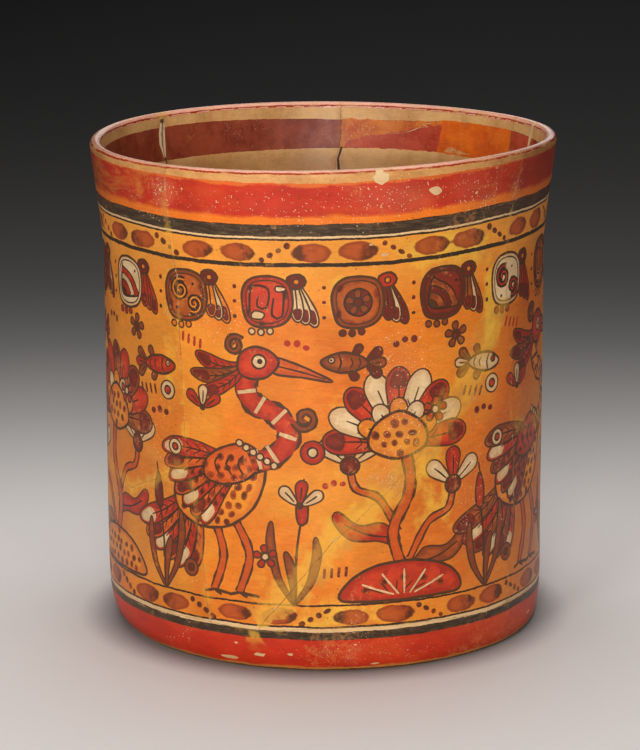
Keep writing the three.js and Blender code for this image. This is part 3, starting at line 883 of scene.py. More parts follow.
# The paints of the ornament, each as it lies and as it pools along an outline
paints = {
    "black": (srgb(62, 37, 20), srgb(90, 54, 28)),
    "red": (srgb(206, 62, 26), srgb(160, 36, 20)),
    "dark": (srgb(140, 46, 24), srgb(92, 32, 22)),
    "cream": (srgb(230, 196, 148), srgb(206, 160, 108)),
    "orange": (srgb(222, 100, 28), srgb(188, 72, 24)),
    "umber": (srgb(186, 88, 30), srgb(116, 50, 24)),
    "hide": (srgb(232, 142, 36), srgb(214, 104, 28)),
}
ground_orange, ground_light, ground_deep = srgb(228, 120, 24), srgb(236, 148, 44), srgb(206, 88, 24)
ground_yellow, repaint_dull = srgb(242, 184, 62), srgb(206, 150, 62)
bare_clay, core_clay, fill_tan = srgb(232, 192, 142), srgb(150, 112, 80), srgb(238, 200, 148)
spot_light, spot_rim, spot_dark = srgb(180, 76, 26), srgb(138, 48, 18), srgb(76, 26, 12)
clear = (0.0, 0.0, 0.0, 1)


class Value:
    """What a node gives, to reckon with as with a number"""

    def __init__(self, nodes, socket):
        self.nodes, self.socket = nodes, socket

    def __add__(self, other):
        return self.nodes.math("ADD", self, other)

    def __sub__(self, other):
        return self.nodes.math("SUBTRACT", self, other)

    def __mul__(self, other):
        return self.nodes.math("MULTIPLY", self, other)

    def __truediv__(self, other):
        return self.nodes.math("DIVIDE", self, other)


class Nodes:
    """Short words for building a node tree"""

    def __init__(self, material):
        material.use_nodes = True
        self.tree = material.node_tree
        self.tree.nodes.clear()
        self.places = {}

    def new(self, kind, **settings):
        made = self.tree.nodes.new(kind)
        for key, value in settings.items():
            setattr(made, key, value)
        return made

    def set(self, socket, value):
        if isinstance(value, Value):
            self.tree.links.new(value.socket, socket)
        else:
            socket.default_value = value

    def node(self, kind, inputs=(), output=0, **settings):
        made = self.new(kind, **settings)
        for place, value in dict(inputs).items():
            self.set(made.inputs[place], value)
        return Value(self, made.outputs[output]) if output is not None else None

    def math(self, operation, *values, clamp=False):
        return self.node("ShaderNodeMath", enumerate(values), operation=operation, use_clamp=clamp)

    def attribute(self, name):
        return self.node("ShaderNodeAttribute", output="Fac", attribute_name=name)

    def place(self, stretch=(1, 1, 1)):
        """Millimetres on the object, stretched along its axes"""
        if stretch not in self.places:
            spot = self.node("ShaderNodeTexCoord", output="Object")
            scale = [1000 * s for s in stretch]
            self.places[stretch] = self.node("ShaderNodeMapping", {"Vector": spot, "Scale": scale})
        return self.places[stretch]

    def noise(self, scale, detail=2.0, roughness=0.5, warp=0.0, stretch=(1, 1, 1)):
        inputs = {"Vector": self.place(stretch), "Scale": scale, "Detail": detail, "Roughness": roughness,
                  "Distortion": warp}
        return self.node("ShaderNodeTexNoise", inputs, output="Fac")

    def cells(self, scale, feature="F1", stretch=(1, 1, 1)):
        inputs = {"Vector": self.place(stretch), "Scale": scale}
        return self.node("ShaderNodeTexVoronoi", inputs, output="Distance", feature=feature)

    def ease(self, value, low, high, to_low=0.0, to_high=1.0):
        inputs = {"Value": value, "From Min": low, "From Max": high, "To Min": to_low, "To Max": to_high}
        return self.node("ShaderNodeMapRange", inputs, interpolation_type="SMOOTHSTEP")

    def cloud(self, scale, low, high, to_low=0.0, to_high=1.0, **shape):
        """Noise that changes from to_low to to_high while it rises from low to high"""
        return self.ease(self.noise(scale, **shape), low, high, to_low, to_high)

    def mix(self, factor, first, second, blend="MIX"):
        inputs = {0: factor, 6: first, 7: second}
        return self.node("ShaderNodeMix", inputs, 2, data_type="RGBA", blend_type=blend)

    def ramp(self, value, stops, interpolation):
        """Colours at the (position, colour) of the stops, for values from 0 to 1"""
        made = self.new("ShaderNodeValToRGB")
        ramp = made.color_ramp
        ramp.interpolation = interpolation
        while len(ramp.elements) > 1:
            ramp.elements.remove(ramp.elements[-1])
        ramp.elements[0].position, ramp.elements[0].color = stops[0]
        for position, colour in stops[1:]:
            ramp.elements.new(position).color = colour
        self.set(made.inputs[0], value)
        return Value(self, made.outputs[0])

    def surface(self, inputs):
        """The output, with a surface that has these inputs"""
        shader = self.node("ShaderNodeBsdfPrincipled", inputs)
        self.node("ShaderNodeOutputMaterial", {"Surface": shader}, output=None)


def grey(value):
    return (value, value, value, 1)


def finish_slip(n, colour, wear=1.0, specks=1.0, gloss=0.4, repaint=0.6, polish=0.0, inside=False):
    """Ends a material of burnished slip: brush streaks, mottling, repainting, dust with a painted sheen,
    crazing and gloss
    """
    streaks = n.noise(0.9, 3, 0.6, stretch=(0.35, 0.35, 2.2))
    mottle = n.noise(0.075, 3, 0.6)
    grain = n.noise(1.6, 2, 0.7)
    light = n.ease(streaks, 0.3, 0.7, -0.06, 0.06) + n.ease(mottle, 0.3, 0.7, -0.1, 0.07)
    # the sherd's tone, which also holds painted shade: sherds at the sides darker, at the front lighter
    light = light + n.ease(grain, 0.25, 0.75, -0.05, 0.04) + n.attribute("tone")
    colour = n.node("ShaderNodeHueSaturation", {"Value": light, "Color": colour})
    # the restorer's thin paint over the joins, yellower than what it covers
    rough = n.noise(0.22, 4, 0.65)
    patch = n.ease(n.attribute("repaint") + n.ease(rough, 0.3, 0.7, -0.3, 0.25), 0.2, 0.8) * repaint
    if inside:
        fresh = n.mix(n.ease(rough, 0.4, 0.6), srgb(204, 146, 84), srgb(166, 98, 54))
    else:
        fresh = n.mix(n.cloud(0.1, 0.42, 0.62, detail=4, roughness=0.6), ground_yellow, repaint_dull)
    colour = n.mix(patch, colour, fresh)
    # thin slip lets the ground and the clay through
    thin = n.noise(0.5, 4, 0.7) * n.noise(0.045, 2, 0.5)
    colour = n.mix(n.ease(thin, 0.31, 0.42, 0, 0.45 * wear), colour, srgb(222, 146, 78))
    # pale dust in clusters, with a pale veil over them that near the front is a painted sheen, and dark
    # pin-pricks
    dust_sheen_mask = n.attribute("dust_and_sheen") + n.cloud(0.05, 0.58, 0.72, 0, 0.45, detail=2, roughness=0.6)
    size = n.math("MULTIPLY_ADD", n.cloud(0.8, 0.35, 0.75, detail=1), 0.28, dust_sheen_mask * 0.12)
    speck = n.ease(size - n.cells(1.25), 0.0, 0.08) * n.ease(dust_sheen_mask, 0.1, 0.4)
    colour = n.mix(speck * (0.8 * specks), colour, srgb(242, 206, 160))
    colour = n.mix(n.ease(dust_sheen_mask, 0.3, 1.1, 0, 0.15 * specks), colour, srgb(206, 156, 124))
    prick = n.ease(n.cells(0.34), 0.08, 0.12, 1, 0) * n.cloud(0.12, 0.5, 0.6, detail=1)
    colour = n.mix(prick * 0.5, colour, srgb(70, 40, 24))
    # crazing, very faint
    net = n.cells(0.17, "DISTANCE_TO_EDGE", (1, 1, 0.8))
    craze = n.ease(net, 0.0, 0.03, 1, 0) * n.ease(mottle, 0.45, 0.6)
    colour = n.mix(craze * 0.12, colour, srgb(96, 50, 24))
    # a few chips, and a little dirt, in the joins
    join = n.attribute("join")
    worn = join + n.ease(rough, 0.3, 0.7, -0.3, 0.5)
    chips = n.ease(worn, 0.05, 0.25, 1, 0) * n.cloud(0.3, 0.52, 0.58)
    colour = n.mix(chips * 0.6, colour, srgb(236, 200, 150))
    dirt = n.ease(join, 0.06, 0.3, 1, 0) * n.cloud(0.14, 0.42, 0.62, 0.05, 0.5)
    colour = n.mix(dirt, colour, srgb(110, 62, 34))
    # the gloss, and a relief of streaks and grain with marks sunk in it
    marks = n.math("MAXIMUM", speck, chips)
    roughness = n.ease(mottle, 0.3, 0.7, gloss - 0.05, gloss + 0.08) + patch * 0.1
    roughness = roughness + n.ease(grain, 0.3, 0.7, -0.05, 0.06) - polish
    roughness = n.math("ADD", roughness, marks * 0.25, clamp=True)
    relief = streaks * 0.35 + grain * 0.2 + marks * -0.4 + mottle * 1.2
    bump = n.node("ShaderNodeBump", {"Height": relief, "Strength": 0.35, "Distance": 0.0001})
    n.surface({"Base Color": colour, "Roughness": roughness, "Normal": bump, "Specular IOR Level": 0.33})


def with_spots(n, colour):
    """Soft brown spots, thin within, stronger round their rims and darkest at one end"""
    edge = n.attribute("spot") + n.cloud(0.22, 0.25, 0.75, -0.08, 0.08)
    end = n.attribute("spot_end") + n.cloud(0.28, 0.3, 0.7, -0.35, 0.35, detail=3, roughness=0.6)
    wash = n.mix(n.ease(end, -0.1, 0.5, 0, 0.7), spot_light, spot_rim)
    wash = n.mix(n.ease(edge, 0.55, 0.9, 0, 0.75), wash, spot_rim)
    wash = n.mix(n.ease(end, 0.3, 0.85), wash, spot_dark)
    return n.mix(n.ease(edge, 0.9, 1.04, 0.94, 0), colour, wash)


def ground_colour(n):
    """The orange of the open wall, washed with yellow in places"""
    light = n.cloud(0.025, 0.42, 0.62, 0, 0.8, detail=3, roughness=0.55, warp=0.4)
    colour = n.mix(light, ground_orange, ground_light)
    colour = n.mix(n.cloud(0.013, 0.5, 0.66, 0, 0.6, stretch=(1, 1, 0.6)), colour, ground_deep)
    colour = n.mix(n.ease(n.attribute("band"), 118, 142, 0, 0.5), colour, srgb(248, 174, 68))
    wash = n.cloud(0.28, 0.35, 0.7, 0, 0.3, detail=4, roughness=0.65, stretch=(0.5, 0.5, 1.6))
    colour = n.mix(wash, colour, srgb(238, 146, 46))
    yellow = n.attribute("yellow") + n.cloud(0.13, 0.3, 0.7, -0.35, 0.3, detail=4, roughness=0.65)
    return n.mix(n.ease(yellow, 0.2, 0.9, 0, 0.85), colour, ground_yellow)


def wall_material(n):
    """The outside: the bands of paint above and below, and the ground between them"""
    level = n.attribute("band") + n.cloud(0.7, 0.2, 0.8, -0.13, 0.13, detail=3, roughness=0.6)
    level = level + n.cloud(0.09, 0.3, 0.7, -0.15, 0.15)
    tan, cream = srgb(222, 160, 94), srgb(232, 190, 136)
    red, edge, black = srgb(202, 48, 15), srgb(242, 120, 22), srgb(54, 37, 21)
    foot_shade, foot_edge = srgb(120, 70, 34), srgb(206, 130, 58)
    lip_line, lip_pink_and_highlight = srgb(172, 58, 36), srgb(242, 172, 142)
    # the crest of the lip is a red line whose pale pink is partly a painted highlight
    stops = [(0, foot_shade), (foot_shade_top, foot_edge), (foot_edge_top, red), (foot_red_top, black),
             (foot_black_top, cream), (foot_cream_top, black), (foot_line_top, clear), (low_band_top, black),
             (low_line_top, clear), (high_line, black), (high_band, clear), (high_band_top, black),
             (thin_line_top, cream), (rim_cream_top, black), (rim_black_top, edge), (rim_orange_top, red),
             (rim_red_top, tan), (lip_edge, lip_line), (lip_top, lip_pink_and_highlight), (lip_inner_edge, lip_line),
             (lip_tan, tan)]

    def banded(shade_of):
        """The shade of each band, from its height and colour"""
        shades = [(z / band_span, shade_of(z, colour)) for z, colour in stops]
        return n.ramp(level / band_span, shades, "CONSTANT")

    def only(*heights):
        """1 on the bands that start at these heights, and 0 elsewhere"""
        return banded(lambda z, _: grey(1 if z in heights else 0))

    bands = banded(lambda _, colour: colour)
    open_ground = banded(lambda _, colour: grey(1 if colour == clear else 0))
    colour = n.mix(open_ground, bands, with_spots(n, ground_colour(n)))
    # the red is laid in darker and lighter strokes, and runs out softly into orange along its lower edge
    reds = only(foot_edge_top, rim_orange_top)
    rim_red = only(rim_orange_top)
    strokes = n.cloud(0.11, 0.42, 0.68, 0, 0.5, detail=4, roughness=0.6, warp=0.5, stretch=(0.5, 0.5, 1.4))
    colour = n.mix(strokes * reds, colour, srgb(170, 32, 18))
    strokes = n.cloud(0.05, 0.5, 0.72, 0, 0.55, detail=3, roughness=0.6, stretch=(0.4, 0.4, 1.0))
    colour = n.mix(strokes * reds, colour, srgb(224, 92, 36))
    run_out = level + n.cloud(0.2, 0.3, 0.7, -0.5, 0.5, detail=3, roughness=0.6, stretch=(0.5, 0.5, 1))
    fade = n.ease(run_out, rim_orange_top - 0.3, rim_orange_top + 1.6, 0.95, 0) * rim_red
    colour = n.mix(fade, colour, edge)
    fade = n.ease(run_out, rim_red_top - 0.7, rim_red_top, 0, 0.7) * rim_red
    colour = n.mix(fade, colour, srgb(232, 116, 40))
    fade = n.ease(run_out, foot_edge_top - 0.2, foot_edge_top + 1.0, 0.8, 0) * only(foot_edge_top)
    colour = n.mix(fade, colour, foot_edge)
    torn = n.cloud(0.12, 0.47, 0.57, detail=5, roughness=0.65, warp=1.2, stretch=(0.6, 0.5, 1.3))
    colour = n.mix(n.attribute("scratched") * torn * (reds * 0.8), colour, srgb(216, 118, 36))
    # the black is rubbed to grey in streaks
    blacks = only(foot_red_top, rim_cream_top)
    rubbed = n.cloud(0.7, 0.4, 0.75, 0.0, 0.6, detail=4, roughness=0.7, stretch=(0.25, 0.25, 1.8))
    colour = n.mix(blacks * rubbed, colour, srgb(116, 92, 62))
    scratch = n.cloud(1.1, 0.6, 0.68, 0.0, 0.55, detail=4, roughness=0.75, stretch=(0.1, 0.1, 2.6))
    colour = n.mix(blacks * scratch, colour, srgb(178, 150, 112))
    # the tan under the lip is browned in clouds
    browned = n.cloud(0.16, 0.42, 0.66, 0, 0.5, detail=4, roughness=0.65, stretch=(0.6, 0.6, 1))
    colour = n.mix(browned * only(rim_red_top), colour, srgb(178, 112, 54))
    # painted shade darkens both sides, as seen from the front, most under the lip
    colour = n.mix(n.attribute("side_shade") * 0.58, colour, srgb(96, 38, 18))
    # the lip is worn to the clay in places
    worn_lip = n.cloud(0.16, 0.5, 0.66, 0, 0.6, detail=4, roughness=0.65, stretch=(1, 1, 3))
    lip = only(lip_edge, lip_top, lip_inner_edge)
    colour = n.mix(worn_lip * lip, colour, srgb(228, 172, 120))
    finish_slip(n, colour, 0.6, repaint=n.ease(level, 8, 13, 0.12, 0.6), polish=lip * 0.18)


def inside_material(n, light, dark, scale, freckles=0.0):
    """A paint of the inside: two tones in clouds and upright streaks, and freckles of the tan under it"""
    colour = n.mix(n.cloud(scale, 0.36, 0.66, detail=4, roughness=0.6), light, dark)
    upright = n.cloud(0.5, 0.35, 0.7, 0, 0.35, detail=3, roughness=0.6, stretch=(1.8, 1.8, 0.25))
    colour = n.mix(upright, colour, light)
    if freckles:
        fleck = n.cloud(0.8, 0.56, 0.62, 0, freckles, detail=4, roughness=0.75)
        colour = n.mix(fleck * n.cloud(0.12, 0.4, 0.6), colour, srgb(222, 172, 116))
    else:
        # painted shade: the tan inside is drawn darker low down, deep in the vase
        low = n.ease(n.attribute("level"), 148, 155, 0.45, 0)
        colour = n.mix(low, colour, srgb(156, 100, 52))
    finish_slip(n, colour, 0.4, 0.5, 0.46, 0.36, inside=True)


def clay_material(n, light, dark, rough=0.85, pits=1.0):
    """Bare clay or filler: matt, gritty and pitted"""
    cloud = n.noise(0.12, 4, 0.6)
    grit = n.noise(1.4, 3, 0.75)
    colour = n.mix(n.ease(cloud, 0.35, 0.68), light, dark)
    colour = n.mix(n.ease(grit, 0.55, 0.75, 0, 0.4), colour, dark)
    stone = n.ease(n.cells(0.8), 0.16, 0.22, 1, 0) * n.ease(cloud, 0.4, 0.6, 0.2, 0.8)
    colour = n.mix(stone * (0.35 * pits), colour, srgb(236, 222, 196))
    relief = grit * 0.8 + stone * (-0.5 * pits)
    bump = n.node("ShaderNodeBump", {"Height": relief, "Strength": 0.6, "Distance": 0.00018})
    roughness = n.ease(grit, 0.3, 0.7, rough - 0.08, rough + 0.06)
    n.surface({"Base Color": colour, "Roughness": roughness, "Normal": bump})


def strip_material(n):
    """The strip of filler in the left join, pale along both sides and painted darker between, as the shade of
    a sunken groove
    """
    aside = n.math("ABSOLUTE", n.attribute("aside")) + n.cloud(0.4, 0.3, 0.7, -0.2, 0.2, detail=3)
    colour = n.mix(n.ease(aside, 0.1, 0.55), srgb(140, 108, 82), srgb(238, 204, 158))
    n.surface({"Base Color": colour, "Roughness": 0.85})


def slip_material(n, name):
    """One colour of the ornament, darker where it pools along its outline"""
    cloud = n.cloud(0.16, 0.38, 0.7, 0, 0.5, detail=4, roughness=0.6)
    inward = n.attribute("depth") + n.cloud(0.35, 0.3, 0.7, -0.7, 0.7, detail=3, roughness=0.6)
    pool = n.ease(inward, 0.5, 2.6, 0.75, 0)
    colour = n.mix(n.math("MAXIMUM", cloud, pool), *paints[name])
    if name in ("hide", "umber", "red", "orange"):
        colour = with_spots(n, colour)
    if name == "black":
        finish_slip(n, colour, 0.0, 0.5, 0.42, 0.36)
    else:
        finish_slip(n, colour, 1.0, 1.0, 0.4, 0.36)


def material(name, build, *options):
    made = bpy.data.materials.new(name)
    build(Nodes(made), *options)
    return made


materials = [material("painted_wall", wall_material)]
materials += [material("slip_" + name, slip_material, name) for name in paints]
materials += [
    material("inside_wall", inside_material, srgb(234, 182, 118), srgb(210, 152, 90), 0.06),
    material("inside_red", inside_material, srgb(160, 72, 46), srgb(126, 44, 26), 0.1, 0.12),
    material("inside_deep", inside_material, srgb(200, 82, 54), srgb(170, 50, 28), 0.09, 0.2),
    material("inside_orange", inside_material, srgb(226, 126, 44), srgb(194, 82, 30), 0.12, 0.7),
    material("inside_bright", inside_material, srgb(238, 114, 28), srgb(214, 86, 24), 0.1, 0.3),
    material("inside_worn", inside_material, srgb(226, 160, 96), srgb(208, 120, 60), 0.2, 0.9),
    # painted shade: dark clay laid where a hole or an open crack shows its shade
    material("painted_hole_shade", clay_material, srgb(92, 74, 56), srgb(44, 34, 26), 0.9, 0.0),
    material("flaked_clay", clay_material, bare_clay, srgb(206, 160, 110), 0.75, 0.6),
    material("broken_clay", clay_material, srgb(190, 142, 96), core_clay),
    material("underside", clay_material, srgb(190, 132, 84), srgb(150, 96, 58), 0.7, 0.8),
    material("filler", clay_material, fill_tan, srgb(220, 176, 122), 0.82, 0.4),
    material("strip_filler", strip_material),
]
index_of = {m.name: i for i, m in enumerate(materials)}
# The material of each paint that an outline can name
paint_index = {name: index_of["slip_" + name] for name in paints}
paint_index.update({name: i for name, i in index_of.items() if name.startswith("inside_")})
paint_index.update({"painted_hole_shade": index_of["painted_hole_shade"], "bare": index_of["flaked_clay"]})


# Mesh of the whole body


def before_seam(outline, side):
    """What the seam behind, where the unrolled plane ends, leaves of an outline on this side"""
    end = side * girth / 2
    kept = []
    for (u0, v0), (u1, v1) in zip(outline[-1:] + outline[:-1], outline):
        if (side * (u0 - end) > 0) != (side * (u1 - end) > 0):
            kept.append((end, v0 + (v1 - v0) * (end - u0) / (u1 - u0)))
        if side * (u1 - end) <= 0:
            kept.append((u1, v1))
    return kept


def across_seam(outline):
    """The outline, or its two parts where it crosses the seam"""
    shifted = [[(u + turn * girth, v) for u, v in outline] for turn in (-1, 0, 1)]
    return [part for part in (before_seam(before_seam(s, 1), -1) for s in shifted) if len(part) > 2]


def drawn_wall(rows, drawing, spots=()):
    """Flat triangles of one side of the wall, with the paint of each or -1"""
    points, edges = [], []
    for z in rows:
        points += [(girth * (i / columns - 0.5), z) for i in range(columns + 1)]
    shapes = [(part, colour) for outline, colour in drawing for part in across_seam(outline)]
    rings = [outline for outline, _ in shapes]
    for u, v, long, wide, slant, _ in spots:
        shares, count = ((1.3, 0.9, 0.4), 8) if long < small_spot else ((1.25, 0.95, 0.7, 0.35), 14)
        for share in shares:
            rings += across_seam([(u + share * (long * cos(a) * cos(slant) - wide * sin(a) * sin(slant)),
                                   v + share * (long * cos(a) * sin(slant) + wide * sin(a) * cos(slant)))
                                  for a in around(count)])
    for ring in rings:
        first = len(points)
        points += ring
        edges += [(first + i, first + (i + 1) % len(ring)) for i in range(len(ring))]
    flat, _, triangles, _, _, _ = delaunay_2d_cdt([Vector(p) for p in points], edges, [], 0, 1e-4, False)
    flat, triangles = np.array([tuple(p) for p in flat]), np.array(triangles)
    # the points on the edges of the plane go exactly where those of the next parts are
    for end in (rows[0], rows[-1]):
        rim = np.abs(flat[:, 1] - end) < snap
        flat[rim, 1] = end
        flat[rim, 0] = girth * (np.round((flat[rim, 0] / girth + 0.5) * columns) / columns - 0.5)
    seam = np.abs(np.abs(flat[:, 0]) - girth / 2) < snap
    flat[seam, 0] = np.sign(flat[seam, 0]) * girth / 2
    middle = flat[triangles].mean(1)
    order = np.argsort(middle[:, 0])
    sorted_u = middle[order, 0]
    kinds = np.full(len(triangles), -1)
    for outline, colour in shapes:
        us, vs = [p[0] for p in outline], [p[1] for p in outline]
        near = order[np.searchsorted(sorted_u, min(us)):np.searchsorted(sorted_u, max(us))]
        near = near[(middle[near, 1] > min(vs)) & (middle[near, 1] < max(vs))]
        hit = near[within(middle[near, 0], middle[near, 1], outline)]
        kinds[hit] = paint_index[colour]
    return flat, triangles, kinds


class Skin:
    """The points, faces and paints of the body, gathered part by part"""

    def __init__(self):
        self.points, self.faces, self.kinds, self.count = [], [], [], 0

    def add(self, points, faces, kinds):
        self.faces += [tuple(self.count + i for i in face) for face in faces]
        self.kinds += kinds
        self.points.append(points)
        self.count += len(points)

    def add_side(self, rows, radii, drawing, spots, bare, outward):
        """The outer or the inner side of the wall, between its first and last rows"""
        flat, triangles, kinds = drawn_wall(rows, drawing, spots)
        places = on_body(flat[:, 0] / wall_radius, np.interp(flat[:, 1], rows, radii), flat[:, 1])
        faces = triangles if outward else triangles[:, ::-1]
        self.add(places, faces.tolist(), np.where(kinds < 0, index_of[bare], kinds).tolist())

    def ring(self, radius, z):
        turns = girth * (np.arange(columns) / columns - 0.5) / wall_radius
        return on_body(turns, np.full(columns, radius), np.full(columns, z))

    def add_rings(self, line, kind):
        """Rings of faces along (radius, height), from the outside in"""
        rings = [self.ring(r, z) for r, z in line]
        faces = [(k * columns + i, k * columns + (i + 1) % columns, (k + 1) * columns + (i + 1) % columns,
                  (k + 1) * columns + i) for k in range(len(line) - 1) for i in range(columns)]
        self.add(np.concatenate(rings), faces, [index_of[kind]] * len(faces))

    def add_middle(self, radius, z, kind, up):
        """The disc that closes a floor on the axis"""
        faces = [(i, (i + 1) % columns, columns) for i in range(columns)]
        if not up:
            faces = [(b, a, middle) for a, b, middle in faces]
        self.add(np.concatenate([self.ring(radius, z), [(0.0, 0.0, z)]]), faces, [index_of[kind]] * columns)


def whole_body():
    """The points, faces and paints of the unbroken vase"""
    skin = Skin()
    skin.add_side(outer_rows, outer_radii, painted, soft_spots, "painted_wall", True)
    skin.add_rings(lip_profile, "painted_wall")
    skin.add_side(inner_rows, inner_radii, inside_painted, (), "inside_wall", False)
    skin.add_rings(floor_profile, "inside_wall")
    skin.add_middle(floor_profile[-1][0], floor_thickness, "inside_wall", True)
    skin.add_rings([(r, 0.0) for r in underside_rings + (foot_radius,)], "underside")
    skin.add_middle(underside_rings[0], 0.0, "underside", False)
    return np.concatenate(skin.points), skin.faces, skin.kinds


def object_from(name, points, faces, kinds):
    mesh = bpy.data.meshes.new(name)
    mesh.from_pydata((np.asarray(points) / 1000).tolist(), [], faces)
    for m in materials:
        mesh.materials.append(m)
    mesh.polygons.foreach_set("material_index", kinds)
    made = bpy.data.objects.new(name, mesh)
    bpy.context.scene.collection.objects.link(made)
    return made


def welded(points, faces, kinds):
    """The same mesh with the points that coincide made one"""
    key = np.round(np.asarray(points) * weld_steps).astype(np.int64)
    _, first, same = np.unique(key, axis=0, return_index=True, return_inverse=True)
    same = same.ravel()
    kept, kept_kinds = [], []
    for face, kind in zip(faces, kinds):
        turned = [int(same[i]) for i in face]
        if len(set(turned)) == len(turned):
            kept.append(turned)
            kept_kinds.append(kind)
    return np.asarray(points)[first], kept, kept_kinds


def cut(target, tool, operation):
    """Cuts a copy of the target's mesh with the tool, and returns the new mesh"""
    copy = bpy.data.objects.new("cut", target)
    bpy.context.scene.collection.objects.link(copy)
    cutter = object_from("tool", *tool, [index_of["broken_clay"]] * len(tool[1]))
    change = copy.modifiers.new("cut", "BOOLEAN")
    change.operation, change.object, change.solver = operation, cutter, "MANIFOLD"
    seen = copy.evaluated_get(bpy.context.evaluated_depsgraph_get())
    mesh = bpy.data.meshes.new_from_object(seen)
    bpy.data.objects.remove(copy)
    bpy.data.objects.remove(cutter)
    return mesh


def points_of(mesh):
    points = np.zeros(len(mesh.vertices) * 3)
    mesh.vertices.foreach_get("co", points)
    return points.reshape(-1, 3) * 1000


def loose_parts(mesh):
    """(points, faces, kinds) of each separate part of a mesh"""
    points = points_of(mesh)
    edges = np.zeros(len(mesh.edges) * 2, int)
    mesh.edges.foreach_get("vertices", edges)
    edges = edges.reshape(-1, 2)
    # each point takes the lowest number that it is joined to, until none changes
    label = np.arange(len(points))
    while True:
        low = np.minimum(label[edges[:, 0]], label[edges[:, 1]])
        before = label.copy()
        np.minimum.at(label, edges[:, 0], low)
        np.minimum.at(label, edges[:, 1], low)
        label = label[label]
        if (label == before).all():
            break
    groups = {}
    for polygon in mesh.polygons:
        faces, kinds = groups.setdefault(int(label[polygon.vertices[0]]), ([], []))
        faces.append(tuple(polygon.vertices))
        kinds.append(polygon.material_index)
    parts = []
    for faces, kinds in groups.values():
        used = sorted({i for face in faces for i in face})
        new = {old: i for i, old in enumerate(used)}
        parts.append((points[used], [tuple(new[i] for i in face) for face in faces], kinds))
    return parts


def wall_point(angle, share):
    return np.array(on_cylinder(radians(angle), share * height))


crumb = 60  # a loose part with no more points than this is a crumb of a cut and no piece


def named_parts(parts, probes):
    """The part whose skin comes nearest to each probe"""
    parts = [part for part in parts if len(part[0]) > crumb]
    return {name: min(parts, key=lambda part: np.linalg.norm(part[0] - probe, axis=1).min())
            for name, probe in probes.items()}


def with_width(line, extra):
    """A fill's line as a curtain's, with no lean and some width added"""
    return [(angle, z, 0.0, width + extra) for angle, z, width in line]


pieces = {}
body = object_from("body", *welded(*whole_body()))
mesh = body.data
bpy.data.objects.remove(body)
for name, line in fills.items():
    filler_mesh = cut(mesh, curtain(with_width(line, 0)), "INTERSECT")
    points, faces, kinds = max(loose_parts(filler_mesh), key=lambda part: len(part[0]))
    kind = index_of["strip_filler" if name == "filler_strip_left" else "filler"]
    pieces[name] = (points, faces, [kind] * len(faces))
    mesh = cut(mesh, curtain(with_width(line, 2 * hairline)), "DIFFERENCE")
mesh = cut(mesh, curtain([p + (hairline,) for p in base_break], closed=True), "DIFFERENCE")
floor_probe = np.array([0, -0.5 * foot_radius, 0])
parted = named_parts(loose_parts(mesh), {"wall": wall_point(8, 0.7), "base": floor_probe})
wall_mesh = object_from("wall", *parted["wall"]).data
for line in break_lines:
    wall_mesh = cut(wall_mesh, curtain([p + (hairline,) for p in line]), "DIFFERENCE")
base_mesh = cut(object_from("base", *parted["base"]).data, base_cross_break(), "DIFFERENCE")
for name in ("wall", "base"):
    bpy.data.objects.remove(bpy.data.objects[name])
wall_probes = {name: wall_point(*place) for name, place in wall_sherds.items()}
base_probes = {"base_sherd_front": floor_probe, "base_sherd_back": np.array([0, 0.6 * foot_radius, 0])}
pieces.update(named_parts(loose_parts(wall_mesh), wall_probes))
pieces.update(named_parts(loose_parts(base_mesh), base_probes))


# What the materials read at each point: height among the bands, height, distance to the joins, repainting,
# soft spots, depth within a painted shape, the patches, and the tone of the sherd, which also holds painted
# shade

join_steps = 8
join_places = []  # (number of the break, angle, height) at close steps
for number, line in enumerate(break_lines + [base_break + base_break[:1]]):
    for (from_angle, from_z, _), (angle, z, _) in zip(line, line[1:]):
        turned, up = (angle - from_angle + 180) % 360 - 180, z - from_z
        join_places += [(number, from_angle + turned * t / join_steps, from_z + up * t / join_steps)
                        for t in range(join_steps)]
joins = KDTree(len(join_places))
for i, (_, angle, z) in enumerate(join_places):
    joins.insert(on_cylinder(radians(angle), z), i)
joins.balance()
far_from_joins = 15
outer_depth = 4.0  # what lies no deeper than this under the wall's radius is the outer side
spot_reach = 1.4  # how far out of a soft spot its values are stored, 1 at its rim

# Each sherd is drawn lighter or darker as a whole, partly a tone of its own and partly painted shade: those
# at the sides darker, those at the front lighter
sherd_tone_and_shade = {"rim_sherd_front": 1.03, "rim_sherd_right": 0.95, "rim_sherd_left": 0.92, "lower_sherd_front": 1.05,
         "lower_sherd_left": 0.93, "rim_sherd_back_right": 0.98, "rim_sherd_back_left": 1.02,
         "lower_sherd_right": 0.97, "lower_sherd_back_left": 0.95, "lower_sherd_back_right": 1.04}

coloured = [outline for outline, colour in painted if colour != "black"]
shape_parts = [np.array(part) for outline in coloured for part in across_seam(outline)]


def depths(u, v, outer):
    """How far inside the outline of its painted shape each point of the outer side lies"""
    depth = np.zeros(len(u))
    order = np.argsort(u)
    sorted_u = u[order]
    for outline in shape_parts:
        (low_u, low_v), (high_u, high_v) = outline.min(0), outline.max(0)
        near = order[np.searchsorted(sorted_u, low_u):np.searchsorted(sorted_u, high_u)]
        near = near[outer[near] & (v[near] > low_v) & (v[near] < high_v)]
        near = near[within(u[near], v[near], outline.tolist())]
        if len(near):
            gaps = np.hypot(u[near, None] - outline[None, :, 0], v[near, None] - outline[None, :, 1])
            depth[near] = gaps.min(1)
    return depth


def apart(u, middle):
    """How far round the wall each place is from the middle, the shorter way"""
    return (u - middle + girth / 2) % girth - girth / 2


